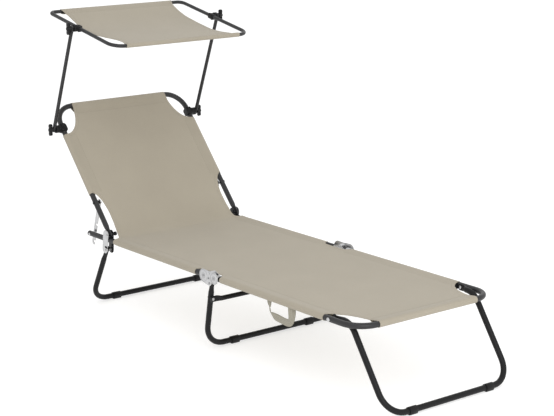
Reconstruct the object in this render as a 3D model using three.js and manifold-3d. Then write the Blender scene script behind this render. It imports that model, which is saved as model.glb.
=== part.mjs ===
// Folding sun lounger with a canopy, in millimetres: +Z up, +X towards the foot end, +Y towards the user's left.
// The middle fold lies at x = 0 and the floor at z = 0 while the pieces are built.
import * as THREE from "three";
import { mergeVertices } from "three/addons/utils/BufferGeometryUtils.js";
import Module from "manifold-3d";

const wasm = await Module();
wasm.setup();

// Frame tube and overall sizes
const clearance = 0.3;
const frameTube = 19;
const frameWall = 1.2;
const railSpan = 560;
const railHeight = 258;
const railInset = 20;
const seatLength = 606;
const footLength = 718;
const footCorner = 72;
const tongueRadius = 11;
const tongueThickness = 4;
const tongueStraight = 26;
const tongueTaper = 18;
const rearTongueStraight = 38;
const boltShank = 7;
const sheetSteel = 2;

// Backrest
const backrestLength = 540;
const backrestCorner = 72;
const backrestLift = 0.6;
const staySeat = 132;
const lowerClampDrop = 89;

// Rear hinge plates and rear leg
const plateWidth = 30;
const plateSetback = 8;
const plateRise = 35;
const plateDrop = 50;
const rearLegPivotDrop = 36;
const rearLegSetback = 11;
const rearLegReach = 107;
const rearLegOutset = 8;
const rearCorner = 66;
const legCorner = 72;
const padWall = 2.5;
const padLength = 39;
const padFoot = 14;
const rearPadInset = 108;
const midPadInset = 122;
const footPadInset = 100;

// Fasteners
const headRadius = 6.5;
const headHeight = 2.4;
const smallHeadRadius = 5.2;
const smallHeadHeight = 1.8;
const bushRadius = 5.8;
const capNutRadius = 8;
const capNutHeight = 14;

// Middle fold
const foldPinRise = 13;
const seatLobeRadius = 24;
const seatLobeReach = 33;
const footLobeRadius = 22;
const footLobeReach = 26;
const knuckleRadius = 11;
const legEarRadius = 10;
const midLegOffset = 1;
const midLegPivotDrop = 21;
const midLegReach = 38;
const leafSheet = 1.8;
const leafWebStart = 50;
const leafWebEnd = 18;
const strapStart = 42;
const strapEnd = 57;
const strapRise = 9;
const strapArch = 13.7;
const stopStudRadius = 3;
const stopStudDrop = 17.5;
const stopStudBack = 3.5;
const crossbarTube = 16;
const crossbarDrop = 53;

// Foot leg
const footLegSetback = 125;
const footLegInset = 23;
const footLegCrankRun = 1;
const footLegCrankBend = 60;

// Recline stays
const stayThickness = 2.5;
const stayWidth = 15;
const stayTail = 49;
const staySpacer = 6;
const stayGap = 17;
const stayHole = 4;
const notchRadius = 4.6;
const notchPitch = 18;
const notchesEachWay = 2;
const catchPinRadius = 4;
const railEndMargin = 13.5;

// Canopy
const armTube = 13;
const armOffset = 36;
const armLength = 406;
const armTongue = 8;
const armPress = 8;
const armStraight = 24;
const armTaper = 12;
const canopyTube = 13;
const canopyOffset = 10;
const canopyDepth = 428.5;
const canopyCorner = 45;
const clampDisc = 14;
const clampBlockHeight = 25;
const clampBlockLength = 27;
const upperDisc = 12.5;
const upperBlockHeight = 18;
const upperBlockLength = 24;
const knobHub = 9;
const knobHubHeight = 12;
const knobStem = 3;
const knobStemGap = 1.3;
const knobWingReach = 22.5;
const knobWingRise = 18;
const knobWingThickness = 4.5;
const knobWaist = 6;

// Cloth
const clothThickness = 1.5;
const clothRise = 5;
const sleeveWall = 1.5;
const seatSleeveSetback = 22;
const seatSleeveEnd = 104;
const seatClothSetback = 14;
const foldGap = 16;
const footSleeveStart = 65;
const footSleeveSetback = 162;
const endSleeveInset = 77;
const freeEdgeInset = 34;
const backSleeveStart = 164;
const backSleeveDrop = 125;
const backClothStart = 28;
const topSleeveInset = 73;
const canopySleeveInset = 48;
const canopyHang = 25;
const strapWidth = 26;
const strapThickness = 2.2;
const handleStart = 298;
const handleLength = 122;
const handleDrop = 56;
const handleLean = 16;

// Angles in degrees
const backrestAngle = 131.5;
const stayAngle = -106;
const footLegAngle = 55.9;
const armAngle = 69.3;
const canopyAngle = -10.8;
const knobAngle = 90;
const canopyPivotShare = 0.46;
const canopyWaistShare = 0.065;

// Values that follow from the sizes
const frameRadius = frameTube / 2;
const railY = railSpan / 2;
const rad = Math.PI / 180;
const outerPlate = railY + frameRadius + clearance;
const innerPlate = railY - frameRadius - clearance;
const padRadius = frameRadius + padWall;
const groundHeight = padRadius;
const seatSleeveStart = seatLength - seatSleeveSetback;
const seatClothEnd = seatLength - seatClothSetback;
const footSleeveEnd = footLength - footSleeveSetback;
const backSleeveEnd = backrestLength - backSleeveDrop;
const freeEdge = railY - freeEdgeInset;
const endSleeveSpan = 2 * (railY - endSleeveInset);
const topSleeveSpan = 2 * (railY - topSleeveInset);
const backHinge = spot(-seatLength, railHeight + frameRadius + backrestLift + tongueRadius);
const rearLegPivot = spot(-seatLength - rearLegSetback, railHeight - rearLegPivotDrop);
const rearLegFoot = spot(rearLegPivot.x - rearLegReach, groundHeight);
const rearLegY = railY + rearLegOutset;
const rearTongue = outerPlate - tongueThickness / 2 - 2 * clearance;
const foldPin = spot(0, railHeight + foldPinRise);
const midLegPivot = spot(midLegOffset, railHeight - midLegPivotDrop);
const midLegFoot = spot(midLegOffset - midLegReach, groundHeight);
const footLegBolt = spot(footLength - footLegSetback, railHeight);
const tipLength = tongueStraight + tongueTaper - tongueRadius;
const crankReach = tipLength + footLegCrankRun + footLegCrankBend * Math.tan(footLegAngle * rad / 2);
const footLegCrank = spot(footLegBolt.x + crankReach, railHeight);
const footLegGround = spot(
  footLegCrank.x + (railHeight - groundHeight) / Math.tan(footLegAngle * rad),
  groundHeight,
);
const footLegY = railY - footLegInset;
const backDir = heading(backrestAngle);
const backFront = spot(backDir.z, -backDir.x);
const stayPivot = along(backHinge, backDir, staySeat);
const stayDir = heading(stayAngle);
const stayY = railY - stayGap + clearance;
const lowerClampAxis = along(backHinge, backDir, backrestLength - lowerClampDrop);
const armDir = heading(armAngle);
const upperClampAxis = along(lowerClampAxis, armDir, armLength);
const canopyDir = heading(canopyAngle);
const canopyUp = spot(-canopyDir.z, canopyDir.x);
const canopyBack = along(upperClampAxis, canopyDir, -canopyDepth * canopyPivotShare);
const canopyY = railY + canopyOffset;
const canopySleeveSpan = 2 * (canopyY - canopySleeveInset);
const armY = railY + armOffset;
const clampFace = armY - armPress / 2 - clearance;
const knobFace = armY + armPress / 2 + clearance;
const knobStemEnd = canopyY + canopyTube / 2 + knobStemGap;
const catchPin = spot(
  stayPivot.x + (stayDir.x / stayDir.z) * (railHeight - stayPivot.z) + frameWall,
  railHeight,
);
const stayLength = stayPivot.distanceTo(catchPin) + stayTail;

// Paints and cloths
const finishes = {
  frame: { color: 0x3b3b3d, roughness: 0.42, metalness: 0.55 },
  zinc: { color: 0xc4c7cb, roughness: 0.35, metalness: 0.9 },
  dark: { color: 0x232325, roughness: 0.5, metalness: 0.4 },
  plastic: { color: 0x19191a, roughness: 0.55, metalness: 0 },
  cloth: { color: 0xaca28f, roughness: 0.9, metalness: 0 },
  webbing: { color: 0xa69c8a, roughness: 0.95, metalness: 0 },
};

const whole = new THREE.Group();
whole.name = "sun_lounger";

// Points in the upright plane along the lounger
function spot(x, z) {
  return new THREE.Vector3(x, 0, z);
}

function heading(degrees) {
  return spot(Math.cos(degrees * Math.PI / 180), Math.sin(degrees * Math.PI / 180));
}

function along(start, direction, distance) {
  return start.clone().addScaledVector(direction, distance);
}

function sideways(point, y) {
  return new THREE.Vector3(point.x, y, point.z);
}

// Solids
function solid(geometry) {
  const bare = (geometry.index ? geometry.toNonIndexed() : geometry.clone());
  bare.deleteAttribute("normal");
  bare.deleteAttribute("uv");
  const merged = mergeVertices(bare, 1e-4 * frameTube);
  return new wasm.Manifold(
    new wasm.Mesh({
      numProp: 3,
      vertProperties: merged.attributes.position.array,
      triVerts: new Uint32Array(merged.index.array),
    }),
  );
}

function joined(...pieces) {
  return pieces.reduce((sum, piece) => sum.add(piece));
}

function surface(body) {
  const mesh = body.getMesh();
  const count = mesh.numVert;
  const places = new Float32Array(3 * count);
  for (let i = 0; i < count; i++) {
    places.set(mesh.vertProperties.subarray(i * mesh.numProp, i * mesh.numProp + 3), 3 * i);
  }
  const geometry = new THREE.BufferGeometry();
  geometry.setAttribute("position", new THREE.BufferAttribute(places, 3));
  geometry.setIndex(new THREE.BufferAttribute(mesh.triVerts, 1));
  const flat = geometry.toNonIndexed();
  flat.computeVertexNormals();
  return flat;
}

function place(name, finish, body) {
  const mesh = new THREE.Mesh(surface(body), new THREE.MeshStandardMaterial(finishes[finish]));
  mesh.name = name;
  whole.add(mesh);
}

// Outlines
function circle(x, y, radius, sides, turn = 0) {
  const points = [];
  for (let i = 0; i < sides; i++) {
    const angle = (2 * Math.PI * (i + turn)) / sides;
    points.push(new THREE.Vector2(x + radius * Math.cos(angle), y + radius * Math.sin(angle)));
  }
  return points;
}

function hull(points) {
  const sorted = [...points].sort((a, b) => a.x - b.x || a.y - b.y);
  const half = (list) => {
    const chain = [];
    for (const p of list) {
      while (chain.length > 1) {
        const [a, b] = chain.slice(-2);
        if ((b.x - a.x) * (p.y - a.y) - (b.y - a.y) * (p.x - a.x) > 0) break;
        chain.pop();
      }
      chain.push(p);
    }
    return chain.slice(0, -1);
  };
  return [...half(sorted), ...half([...sorted].reverse())];
}

// A plate whose outline lies in the upright plane, between two distances across the lounger
function plate(points, from, to) {
  const low = Math.min(from, to);
  const high = Math.max(from, to);
  const shape = new THREE.Shape(points);
  const geometry = new THREE.ExtrudeGeometry(shape, { depth: high - low, bevelEnabled: false });
  return solid(geometry.rotateX(Math.PI / 2).translate(0, high, 0));
}

function pin(point, radius, from, to, sides = 12) {
  const geometry = new THREE.CylinderGeometry(radius, radius, Math.abs(to - from), sides);
  return solid(geometry.translate(point.x, (from + to) / 2, point.z));
}

// A turned piece whose axis runs across the lounger: profile points are [radius, distance from the middle plane]
function turned(point, profile, side, sides = 12) {
  const points = profile.map(([radius, distance]) => new THREE.Vector2(radius, distance));
  const geometry = new THREE.LatheGeometry(points, sides);
  if (side < 0) geometry.rotateZ(Math.PI);
  return solid(geometry.translate(point.x, 0, point.z));
}

// Bent tubes
class BentPath extends THREE.Curve {
  constructor(stations) {
    super();
    this.stations = stations;
  }
  getUtoTmapping(u) {
    return u;
  }
  at(t) {
    return this.stations[Math.round(t * (this.stations.length - 1))];
  }
  getPoint(t) {
    return this.at(t).point.clone();
  }
  getTangent(t) {
    return this.at(t).tangent.clone();
  }
}

function arcStations(corner, into, out, radius, stepDegrees) {
  const turn = into.angleTo(out);
  const reach = radius * Math.tan(turn / 2);
  const start = corner.clone().addScaledVector(into, -reach);
  const inward = out.clone().addScaledVector(into, -Math.cos(turn)).normalize();
  const centre = start.clone().addScaledVector(inward, radius);
  const steps = Math.max(2, Math.ceil(turn / rad / stepDegrees));
  const stations = [];
  for (let i = 0; i <= steps; i++) {
    const angle = (turn * i) / steps;
    const point = centre.clone()
      .addScaledVector(inward, -radius * Math.cos(angle))
      .addScaledVector(into, radius * Math.sin(angle));
    const tangent = into.clone().multiplyScalar(Math.cos(angle))
      .addScaledVector(inward, Math.sin(angle));
    stations.push({ point, tangent });
  }
  return stations;
}

// Stations along straight runs joined by round bends; ends holds the distances from both tips that need a ring
function route(corners, radii, ends = [0], stepDegrees = 18) {
  const last = corners.length - 1;
  const first = corners[1].clone().sub(corners[0]).normalize();
  const final = corners[last].clone().sub(corners[last - 1]).normalize();
  const stations = ends.map((distance) => (
    { point: corners[0].clone().addScaledVector(first, distance), tangent: first.clone() }
  ));
  for (let i = 1; i < last; i++) {
    const into = corners[i].clone().sub(corners[i - 1]).normalize();
    const out = corners[i + 1].clone().sub(corners[i]).normalize();
    stations.push(...arcStations(corners[i], into, out, radii[i - 1], stepDegrees));
  }
  for (const distance of [...ends].reverse()) {
    stations.push({
      point: corners[last].clone().addScaledVector(final, -distance),
      tangent: final.clone(),
    });
  }
  return stations;
}

function tubeGeometry(stations, radius, sides = 12) {
  const shape = new THREE.Shape(circle(0, 0, radius, sides));
  return new THREE.ExtrudeGeometry(shape, {
    steps: stations.length - 1,
    extrudePath: new BentPath(stations),
    bevelEnabled: false,
  });
}

// Ring distances for a pressed tip: a round end, a flat run and a taper back to the round tube
function tipRings(tip) {
  const roundShares = [20, 42, 65, 90];
  const rounded = roundShares.map((angle) => tip.radius * (1 - Math.cos(angle * rad)));
  return [...rounded, tip.flat, tip.flat + tip.taper / 2, tip.flat + tip.taper];
}

// Presses the tube flat near each end; an end has its tip point, inward direction, and the direction it is pressed along
function pressTips(geometry, tubeRadius, tip, ends) {
  const places = geometry.getAttribute("position");
  const vertex = new THREE.Vector3();
  for (let i = 0; i < places.count; i++) {
    vertex.fromBufferAttribute(places, i);
    for (const end of ends) {
      const offset = vertex.clone().sub(end.tip);
      const depth = offset.dot(end.inward);
      const acrossDir = end.inward.clone().cross(end.pressed);
      const wide = offset.dot(acrossDir);
      const thick = offset.dot(end.pressed);
      const near = Math.hypot(wide, thick) < 2 * tubeRadius;
      if (!near || depth < -tubeRadius || depth > tip.flat + tip.taper) continue;
      const blend = Math.min(1, (tip.flat + tip.taper - depth) / tip.taper);
      const back = Math.max(0, tip.radius - depth) / tip.radius;
      const halfWidth = tip.radius * Math.sqrt(Math.max(0, 1 - back * back));
      const flatThick = Math.max(-1, Math.min(1, (2 * thick) / tubeRadius)) * tip.thickness / 2;
      const newWide = wide + (wide / tubeRadius * halfWidth - wide) * blend;
      const newThick = thick + (flatThick + (end.shift || 0) - thick) * blend;
      vertex.copy(end.tip).addScaledVector(end.inward, depth)
        .addScaledVector(acrossDir, newWide).addScaledVector(end.pressed, newThick);
      places.setXYZ(i, vertex.x, vertex.y, vertex.z);
    }
  }
  return geometry;
}

const frameTip = {
  radius: tongueRadius,
  thickness: tongueThickness,
  flat: tongueStraight,
  taper: tongueTaper,
};

// A frame of one bent tube with two pressed tips, one on each side, and a hole in each tip
function hoop(profile, y, bends, shift, tip = frameTip) {
  const left = profile.map((point) => sideways(point, y));
  const right = profile.map((point) => sideways(point, -y)).reverse();
  const radii = [...bends, ...[...bends].reverse()];
  const geometry = tubeGeometry(route([...left, ...right], radii, tipRings(tip)), frameRadius);
  const inward = profile[1].clone().sub(profile[0]).normalize();
  const ends = [1, -1].map((side) => ({
    tip: sideways(profile[0], side * y),
    inward,
    pressed: new THREE.Vector3(0, side, 0),
    shift,
  }));
  const hole = along(profile[0], inward, tongueRadius);
  const drill = pin(hole, boltShank / 2 + clearance, -y - frameTube, y + frameTube);
  return solid(pressTips(geometry, frameRadius, tip, ends)).subtract(drill);
}

// Fasteners across one side of the frame: shank, bushes on both sides of a tongue, and two heads
function sideBolt(point, side, { inner, outer, tongue, innerHead, outerHead, bushes = true }) {
  const shank = boltShank / 2;
  const low = inner - clearance;
  const high = outer + clearance;
  const profile = [...innerHead(low)];
  profile.push([shank, low]);
  if (bushes) {
    for (const [from, to] of tongue) {
      profile.push([shank, from], [bushRadius, from], [bushRadius, to], [shank, to]);
    }
  }
  profile.push([shank, high], ...outerHead(high));
  return turned(point, profile, side);
}

function domed(radius, height, direction) {
  return (face) => {
    const crownShares = [[1, 0], [1, 0.45], [0.7, 0.92], [0, 1]];
    const list = crownShares.map(([r, h]) => [r * radius, face + direction * h * height]);
    return direction > 0 ? list : list.reverse();
  };
}

function capNut(face) {
  const nutShares = [[0, 1], [0.35, 1], [0.62, 0.86], [0.68, 0.52], [1, 0.5], [1, 0]];
  return nutShares.map(([r, h]) => [r * capNutRadius, face - h * capNutHeight]);
}

const tongueLow = railY - tongueThickness / 2 - clearance;
const tongueHigh = railY + tongueThickness / 2 + clearance;

// Seat rails, straight and open at both ends
function seatRail(name, side) {
  const ring = new THREE.Shape(circle(0, 0, frameRadius, 16));
  ring.holes.push(new THREE.Path(circle(0, 0, frameRadius - frameWall, 16)));
  const headEnd = catchPin.x - railEndMargin;
  const geometry = new THREE.ExtrudeGeometry(ring, {
    depth: -railInset - headEnd,
    bevelEnabled: false,
  });
  const tube = solid(geometry.rotateY(Math.PI / 2).translate(headEnd, side * railY, railHeight));
  const holes = [spot(-seatLobeReach, railHeight), catchPin].map((point) => (
    pin(point, boltShank / 2 + clearance, side * (railY - frameTube), side * (railY + frameTube))
  ));
  place(name, "frame", holes.reduce((body, hole) => body.subtract(hole), tube));
}

// Zinc outer plate and dark inner plate that carry the backrest bolt and the rear leg rivet
function rearPlates(suffix, side) {
  const radius = plateWidth / 2;
  const outline = hull([
    ...circle(-seatLength - plateSetback, railHeight + plateRise - radius, radius, 20),
    ...circle(-seatLength - plateSetback, railHeight - plateDrop + radius, radius, 20),
  ]);
  const drill = (body) => [backHinge, rearLegPivot].reduce((rest, point) => (
    rest.subtract(pin(point, boltShank / 2 + clearance, side * innerPlate - side * frameTube, side * armY))
  ), body);
  const outer = plate(outline, side * outerPlate, side * (outerPlate + sheetSteel));
  const inner = plate(outline, side * innerPlate, side * (innerPlate - sheetSteel));
  place("rear_plate_outer_" + suffix, "zinc", drill(outer));
  place("rear_plate_inner_" + suffix, "dark", drill(inner));
}

function rearFasteners(suffix, side) {
  const reach = { inner: innerPlate - sheetSteel, outer: outerPlate + sheetSteel };
  const bushes = [
    [innerPlate + clearance, tongueLow],
    [tongueHigh, outerPlate - clearance],
  ];
  const legBush = [[innerPlate + clearance, rearTongue - tongueThickness / 2 - clearance]];
  place("backrest_bolt_" + suffix, "dark", sideBolt(backHinge, side, {
    ...reach,
    tongue: bushes,
    innerHead: capNut,
    outerHead: domed(headRadius, headHeight, 1),
  }));
  place("rear_leg_rivet_" + suffix, "zinc", sideBolt(rearLegPivot, side, {
    ...reach,
    tongue: legBush,
    innerHead: domed(smallHeadRadius, smallHeadHeight, -1),
    outerHead: domed(smallHeadRadius, smallHeadHeight, 1),
  }));
}

// Pin on the inner face of the rail that the recline stay hooks over
function catchPinNode(suffix, side) {
  const tip = stayY + stayThickness / 2 + clearance;
  const profile = [
    [0, tip], [catchPinRadius, tip], [catchPinRadius, innerPlate],
    [boltShank / 2, innerPlate], [boltShank / 2, outerPlate],
    ...domed(smallHeadRadius, smallHeadHeight, 1)(outerPlate),
  ];
  place("catch_pin_" + suffix, "zinc", turned(catchPin, profile, side));
}

// Middle hinge leaves: two lobed cheeks on each half
function seatLeafOutline() {
  return hull([
    ...circle(-seatLobeReach, railHeight, seatLobeRadius, 24),
    ...circle(foldPin.x, foldPin.z, knuckleRadius, 16),
    ...circle(midLegPivot.x, midLegPivot.z, legEarRadius, 16),
  ]);
}

function footLeafOutline() {
  const strapTop = railHeight + frameRadius + strapArch;
  const strapLow = railHeight - frameRadius - strapRise / 2;
  return hull([
    ...circle(footLobeReach, railHeight + clothRise / 2, footLobeRadius, 24),
    ...circle(foldPin.x, foldPin.z, knuckleRadius, 16),
    new THREE.Vector2(strapEnd, strapTop - strapRise),
    new THREE.Vector2(strapEnd, strapLow),
  ]);
}

function seatLeaf(suffix, side) {
  const outline = seatLeafOutline();
  const outer = plate(outline, side * outerPlate, side * (outerPlate + leafSheet));
  const inner = plate(outline, side * innerPlate, side * (innerPlate - leafSheet));
  const webTop = railHeight - frameRadius - clearance;
  const web = plate([
    new THREE.Vector2(-leafWebStart, webTop - leafSheet),
    new THREE.Vector2(-leafWebEnd, webTop - leafSheet),
    new THREE.Vector2(-leafWebEnd, webTop),
    new THREE.Vector2(-leafWebStart, webTop),
  ], side * (innerPlate - leafSheet / 2), side * (outerPlate + leafSheet / 2));
  const rivet = turned(spot(-seatLobeReach, railHeight), [
    ...domed(smallHeadRadius, smallHeadHeight, -1)(innerPlate - leafSheet),
    [boltShank / 2, innerPlate - leafSheet], [boltShank / 2, outerPlate + leafSheet],
    ...domed(smallHeadRadius, smallHeadHeight, 1)(outerPlate + leafSheet),
  ], side);
  const studPoint = spot(foldPin.x - stopStudBack, foldPin.z - stopStudDrop);
  const stud = pin(
    studPoint,
    stopStudRadius,
    side * (outerPlate + leafSheet / 2),
    side * (outerPlate + 2 * leafSheet + clearance),
    12,
  );
  const body = joined(outer, inner, web, rivet, stud);
  const drilled = [foldPin, midLegPivot].reduce((rest, point) => (
    rest.subtract(pin(point, boltShank / 2 + clearance, side * footLegY, side * armY))
  ), body);
  place("hinge_leaf_seat_" + suffix, "zinc", drilled);
}

function footLeaf(suffix, side) {
  const outline = footLeafOutline();
  const cheekOut = outerPlate + leafSheet + clearance;
  const cheekIn = innerPlate - leafSheet - clearance;
  const outer = plate(outline, side * cheekOut, side * (cheekOut + leafSheet));
  const inner = plate(outline, side * cheekIn, side * (cheekIn - leafSheet));
  const archHeight = railHeight + frameRadius;
  const half = (radius) => {
    const points = [];
    for (let i = 0; i <= 10; i++) {
      const angle = (Math.PI * i) / 10;
      points.push(new THREE.Vector2(radius * Math.cos(angle), radius * Math.sin(angle)));
    }
    return points;
  };
  const outerArch = cheekOut + leafSheet - railY;
  const arch = new THREE.Shape([...half(outerArch), ...half(outerArch - leafSheet).reverse()]);
  const strap = new THREE.ExtrudeGeometry(arch, {
    depth: strapEnd - strapStart,
    bevelEnabled: false,
  });
  strap.rotateX(Math.PI / 2).rotateZ(Math.PI / 2).translate(strapStart, side * railY, archHeight);
  const strapSolid = solid(strap);
  const trimHeight = strapArch + frameTube;
  const cheekTrim = plate([
    new THREE.Vector2(strapStart, archHeight - trimHeight),
    new THREE.Vector2(strapEnd, archHeight - trimHeight),
    new THREE.Vector2(strapEnd, archHeight + clearance),
    new THREE.Vector2(strapStart, archHeight + clearance),
  ], side * (cheekIn - leafSheet), side * (cheekOut + leafSheet));
  const hollow = plate([
    new THREE.Vector2(0, archHeight - 2 * trimHeight),
    new THREE.Vector2(2 * strapEnd, archHeight - 2 * trimHeight),
    new THREE.Vector2(2 * strapEnd, archHeight + trimHeight),
    new THREE.Vector2(0, archHeight + trimHeight),
  ], side * cheekIn, side * cheekOut);
  const legs = cheekTrim.subtract(hollow).intersect(plate(outline, side * footLegY, side * armY));
  const rivet = turned(spot(footLobeReach, railHeight), [
    ...domed(smallHeadRadius, smallHeadHeight, -1)(cheekIn - leafSheet),
    [bushRadius, cheekIn - leafSheet / 2], [bushRadius, innerPlate],
    [boltShank / 2, innerPlate], [boltShank / 2, outerPlate],
    [bushRadius, outerPlate], [bushRadius, cheekOut + leafSheet / 2],
    ...domed(smallHeadRadius, smallHeadHeight, 1)(cheekOut + leafSheet),
  ], side);
  const body = joined(outer, inner, strapSolid, legs, rivet);
  const drill = pin(foldPin, boltShank / 2 + clearance, side * footLegY, side * armY);
  place("hinge_leaf_foot_" + suffix, "zinc", body.subtract(drill));
}

function foldFasteners(suffix, side) {
  const cheekOut = outerPlate + 2 * leafSheet + clearance;
  const cheekIn = innerPlate - 2 * leafSheet - clearance;
  place("hinge_pin_" + suffix, "zinc", sideBolt(foldPin, side, {
    inner: cheekIn,
    outer: cheekOut,
    tongue: [[innerPlate + clearance, outerPlate - clearance]],
    innerHead: domed(smallHeadRadius, smallHeadHeight, -1),
    outerHead: domed(smallHeadRadius, smallHeadHeight, 1),
  }));
  place("mid_leg_rivet_" + suffix, "zinc", sideBolt(midLegPivot, side, {
    inner: innerPlate - leafSheet,
    outer: outerPlate + leafSheet,
    tongue: [[innerPlate + clearance, tongueLow], [tongueHigh, outerPlate - clearance]],
    innerHead: domed(smallHeadRadius, smallHeadHeight, -1),
    outerHead: domed(smallHeadRadius, smallHeadHeight, 1),
  }));
}

// Backrest tube, pressed flat at the hinge
function backrestFrame() {
  const tip = along(backHinge, backDir, -tongueRadius);
  const top = along(backHinge, backDir, backrestLength);
  const frame = hoop([tip, top], railY, [backrestCorner], 0);
  const drill = pin(stayPivot, boltShank / 2 + clearance, -armY, armY);
  place("backrest_frame", "frame", frame.subtract(drill));
}

// Recline stays: flat strips with a hooked, notched edge
function stayOutline() {
  const half = stayWidth / 2;
  const end = stayLength;
  return hull([...circle(0, 0, half, 20), ...circle(end - half, 0, half, 20)]);
}

function reclineStay(suffix, side) {
  const turn = new THREE.Matrix4().makeRotationY(-stayAngle * rad);
  const notchAt = stayPivot.distanceTo(catchPin);
  const low = stayY - stayThickness / 2;
  const high = stayY + stayThickness / 2;
  let body = plate(stayOutline(), side * low, side * high);
  body = body.subtract(pin(spot(0, 0), stayHole, -armY, armY, 16));
  for (let i = -notchesEachWay; i <= notchesEachWay; i++) {
    const throat = notchAt + i * notchPitch;
    const slot = plate(hull([
      ...circle(throat, 0, notchRadius, 12),
      ...circle(throat - notchRadius, stayWidth, notchRadius, 12),
    ]), -armY, armY);
    body = body.subtract(slot);
  }
  turn.setPosition(stayPivot.x, 0, stayPivot.z);
  place("recline_stay_" + suffix, "zinc", solid(surface(body).applyMatrix4(turn)));
}

function stayRivet(suffix, side) {
  const inner = stayY - stayThickness / 2;
  const spacer = stayY + stayThickness / 2 + clearance;
  const profile = [
    ...domed(headRadius, headHeight, -1)(inner - clearance),
    [boltShank / 2, inner - clearance], [boltShank / 2, spacer],
    [headRadius, spacer], [headRadius, innerPlate],
    [boltShank / 2, innerPlate], [boltShank / 2, outerPlate],
    ...domed(smallHeadRadius, smallHeadHeight, 1)(outerPlate),
  ];
  place("stay_rivet_" + suffix, "dark", turned(stayPivot, profile, side));
}

// Canopy clamps: a block that grips a tube, with a round face for the arm
function clamp(name, side, axis, direction, sizes) {
  const { tube, y, disc, height, length, blockOut } = sizes;
  const blockIn = y - height / 2;
  const normal = spot(-direction.z, direction.x);
  const cornersShares = [[-0.5, -0.38], [-0.38, -0.5], [0.38, -0.5], [0.5, -0.38], [0.5, 0.38], [0.38, 0.5],
    [-0.38, 0.5], [-0.5, 0.38]];
  const outline = cornersShares.map(([a, b]) => {
    const point = along(along(axis, direction, a * length), normal, b * height);
    return new THREE.Vector2(point.x, point.z);
  });
  const block = plate(outline, side * blockIn, side * blockOut);
  const face = pin(axis, disc, side * (blockOut - clearance), side * clampFace, 24);
  const bore = tubeGeometry([
    { point: sideways(along(axis, direction, -length), side * y), tangent: direction.clone() },
    { point: sideways(along(axis, direction, length), side * y), tangent: direction.clone() },
  ], tube / 2 + clearance, 16);
  const screw = pin(axis, knobStem + clearance, side * y, side * (clampFace + disc), 12);
  place(name, "plastic", joined(block, face).subtract(solid(bore)).subtract(screw));
}

function lowerClamp(suffix, side) {
  clamp("lower_clamp_" + suffix, side, lowerClampAxis, backDir, {
    tube: frameTube,
    y: railY,
    disc: clampDisc,
    height: clampBlockHeight,
    length: clampBlockLength,
    blockOut: railY + clampBlockHeight / 2,
  });
}

function upperClamp(suffix, side) {
  clamp("upper_clamp_" + suffix, side, upperClampAxis, canopyDir, {
    tube: canopyTube,
    y: canopyY,
    disc: upperDisc,
    height: upperBlockHeight,
    length: upperBlockLength,
    blockOut: canopyY + upperBlockHeight / 2,
  });
}

const armTip = { radius: armTongue, thickness: armPress, flat: armStraight, taper: armTaper };

// Canopy arms, pressed flat at both ends
function canopyArm(suffix, side) {
  const low = sideways(along(lowerClampAxis, armDir, -armTongue), side * armY);
  const high = sideways(along(upperClampAxis, armDir, armTongue), side * armY);
  const geometry = tubeGeometry(route([low, high], [], tipRings(armTip)), armTube / 2);
  const pressed = new THREE.Vector3(0, side, 0);
  const ends = [
    { tip: low, inward: armDir.clone(), pressed },
    { tip: high, inward: armDir.clone().negate(), pressed },
  ];
  const body = solid(pressTips(geometry, armTube / 2, armTip, ends));
  const drilled = [lowerClampAxis, upperClampAxis].reduce((rest, point) => (
    rest.subtract(pin(point, knobStem + clearance, side * canopyY, side * (armY + armTube), 12))
  ), body);
  place("canopy_arm_" + suffix, "frame", drilled);
}

// Wing knobs: a waisted hub with two flared wings and a screw
function wingKnob(name, side, axis, turnDegrees) {
  const face = knobFace;
  const hub = turned(axis, [
    [0, knobStemEnd], [knobStem, knobStemEnd], [knobStem, face],
    [knobHub, face], [knobHub, face + knobHubHeight / 3],
    [knobWaist, face + knobHubHeight / 2], [knobWaist, face + knobHubHeight], [0, face + knobHubHeight],
  ], side, 16);
  const wingShares = [[0, 0.1], [0.42, 0.1], [0.8, 0.45], [1, 0.8], [0.94, 1], [0.7, 0.98], [0.3, 0.62], [0, 0.55]];
  const outline = [
    ...wingShares.map(([reach, rise]) => new THREE.Vector2(reach * knobWingReach, rise * knobWingRise)),
    ...wingShares.slice(1, -1).reverse()
      .map(([reach, rise]) => new THREE.Vector2(-reach * knobWingReach, rise * knobWingRise)),
  ];
  const wings = new THREE.ExtrudeGeometry(new THREE.Shape(outline), {
    depth: knobWingThickness,
    bevelEnabled: false,
  });
  wings.translate(0, 0, -knobWingThickness / 2);
  if (side < 0) wings.rotateZ(Math.PI);
  wings.rotateY(-turnDegrees * rad).translate(axis.x, side * face, axis.z);
  place(name, "plastic", hub.add(solid(wings)));
}

// Canopy frame: a closed loop of thin tube whose ends meet on a short inner joint
function canopyFrame() {
  const front = along(canopyBack, canopyDir, canopyDepth);
  const corners = [
    sideways(canopyBack, clearance), sideways(canopyBack, canopyY), sideways(front, canopyY),
    sideways(front, -canopyY), sideways(canopyBack, -canopyY), sideways(canopyBack, -clearance),
  ];
  const radii = [canopyCorner, canopyCorner, canopyCorner, canopyCorner];
  const loop = solid(tubeGeometry(route(corners, radii, [0]), canopyTube / 2, 10));
  const joint = pin(canopyBack, canopyTube / 2 - frameWall, -canopyTube, canopyTube, 10);
  place("canopy_frame", "frame", loop.add(joint));
}

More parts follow.
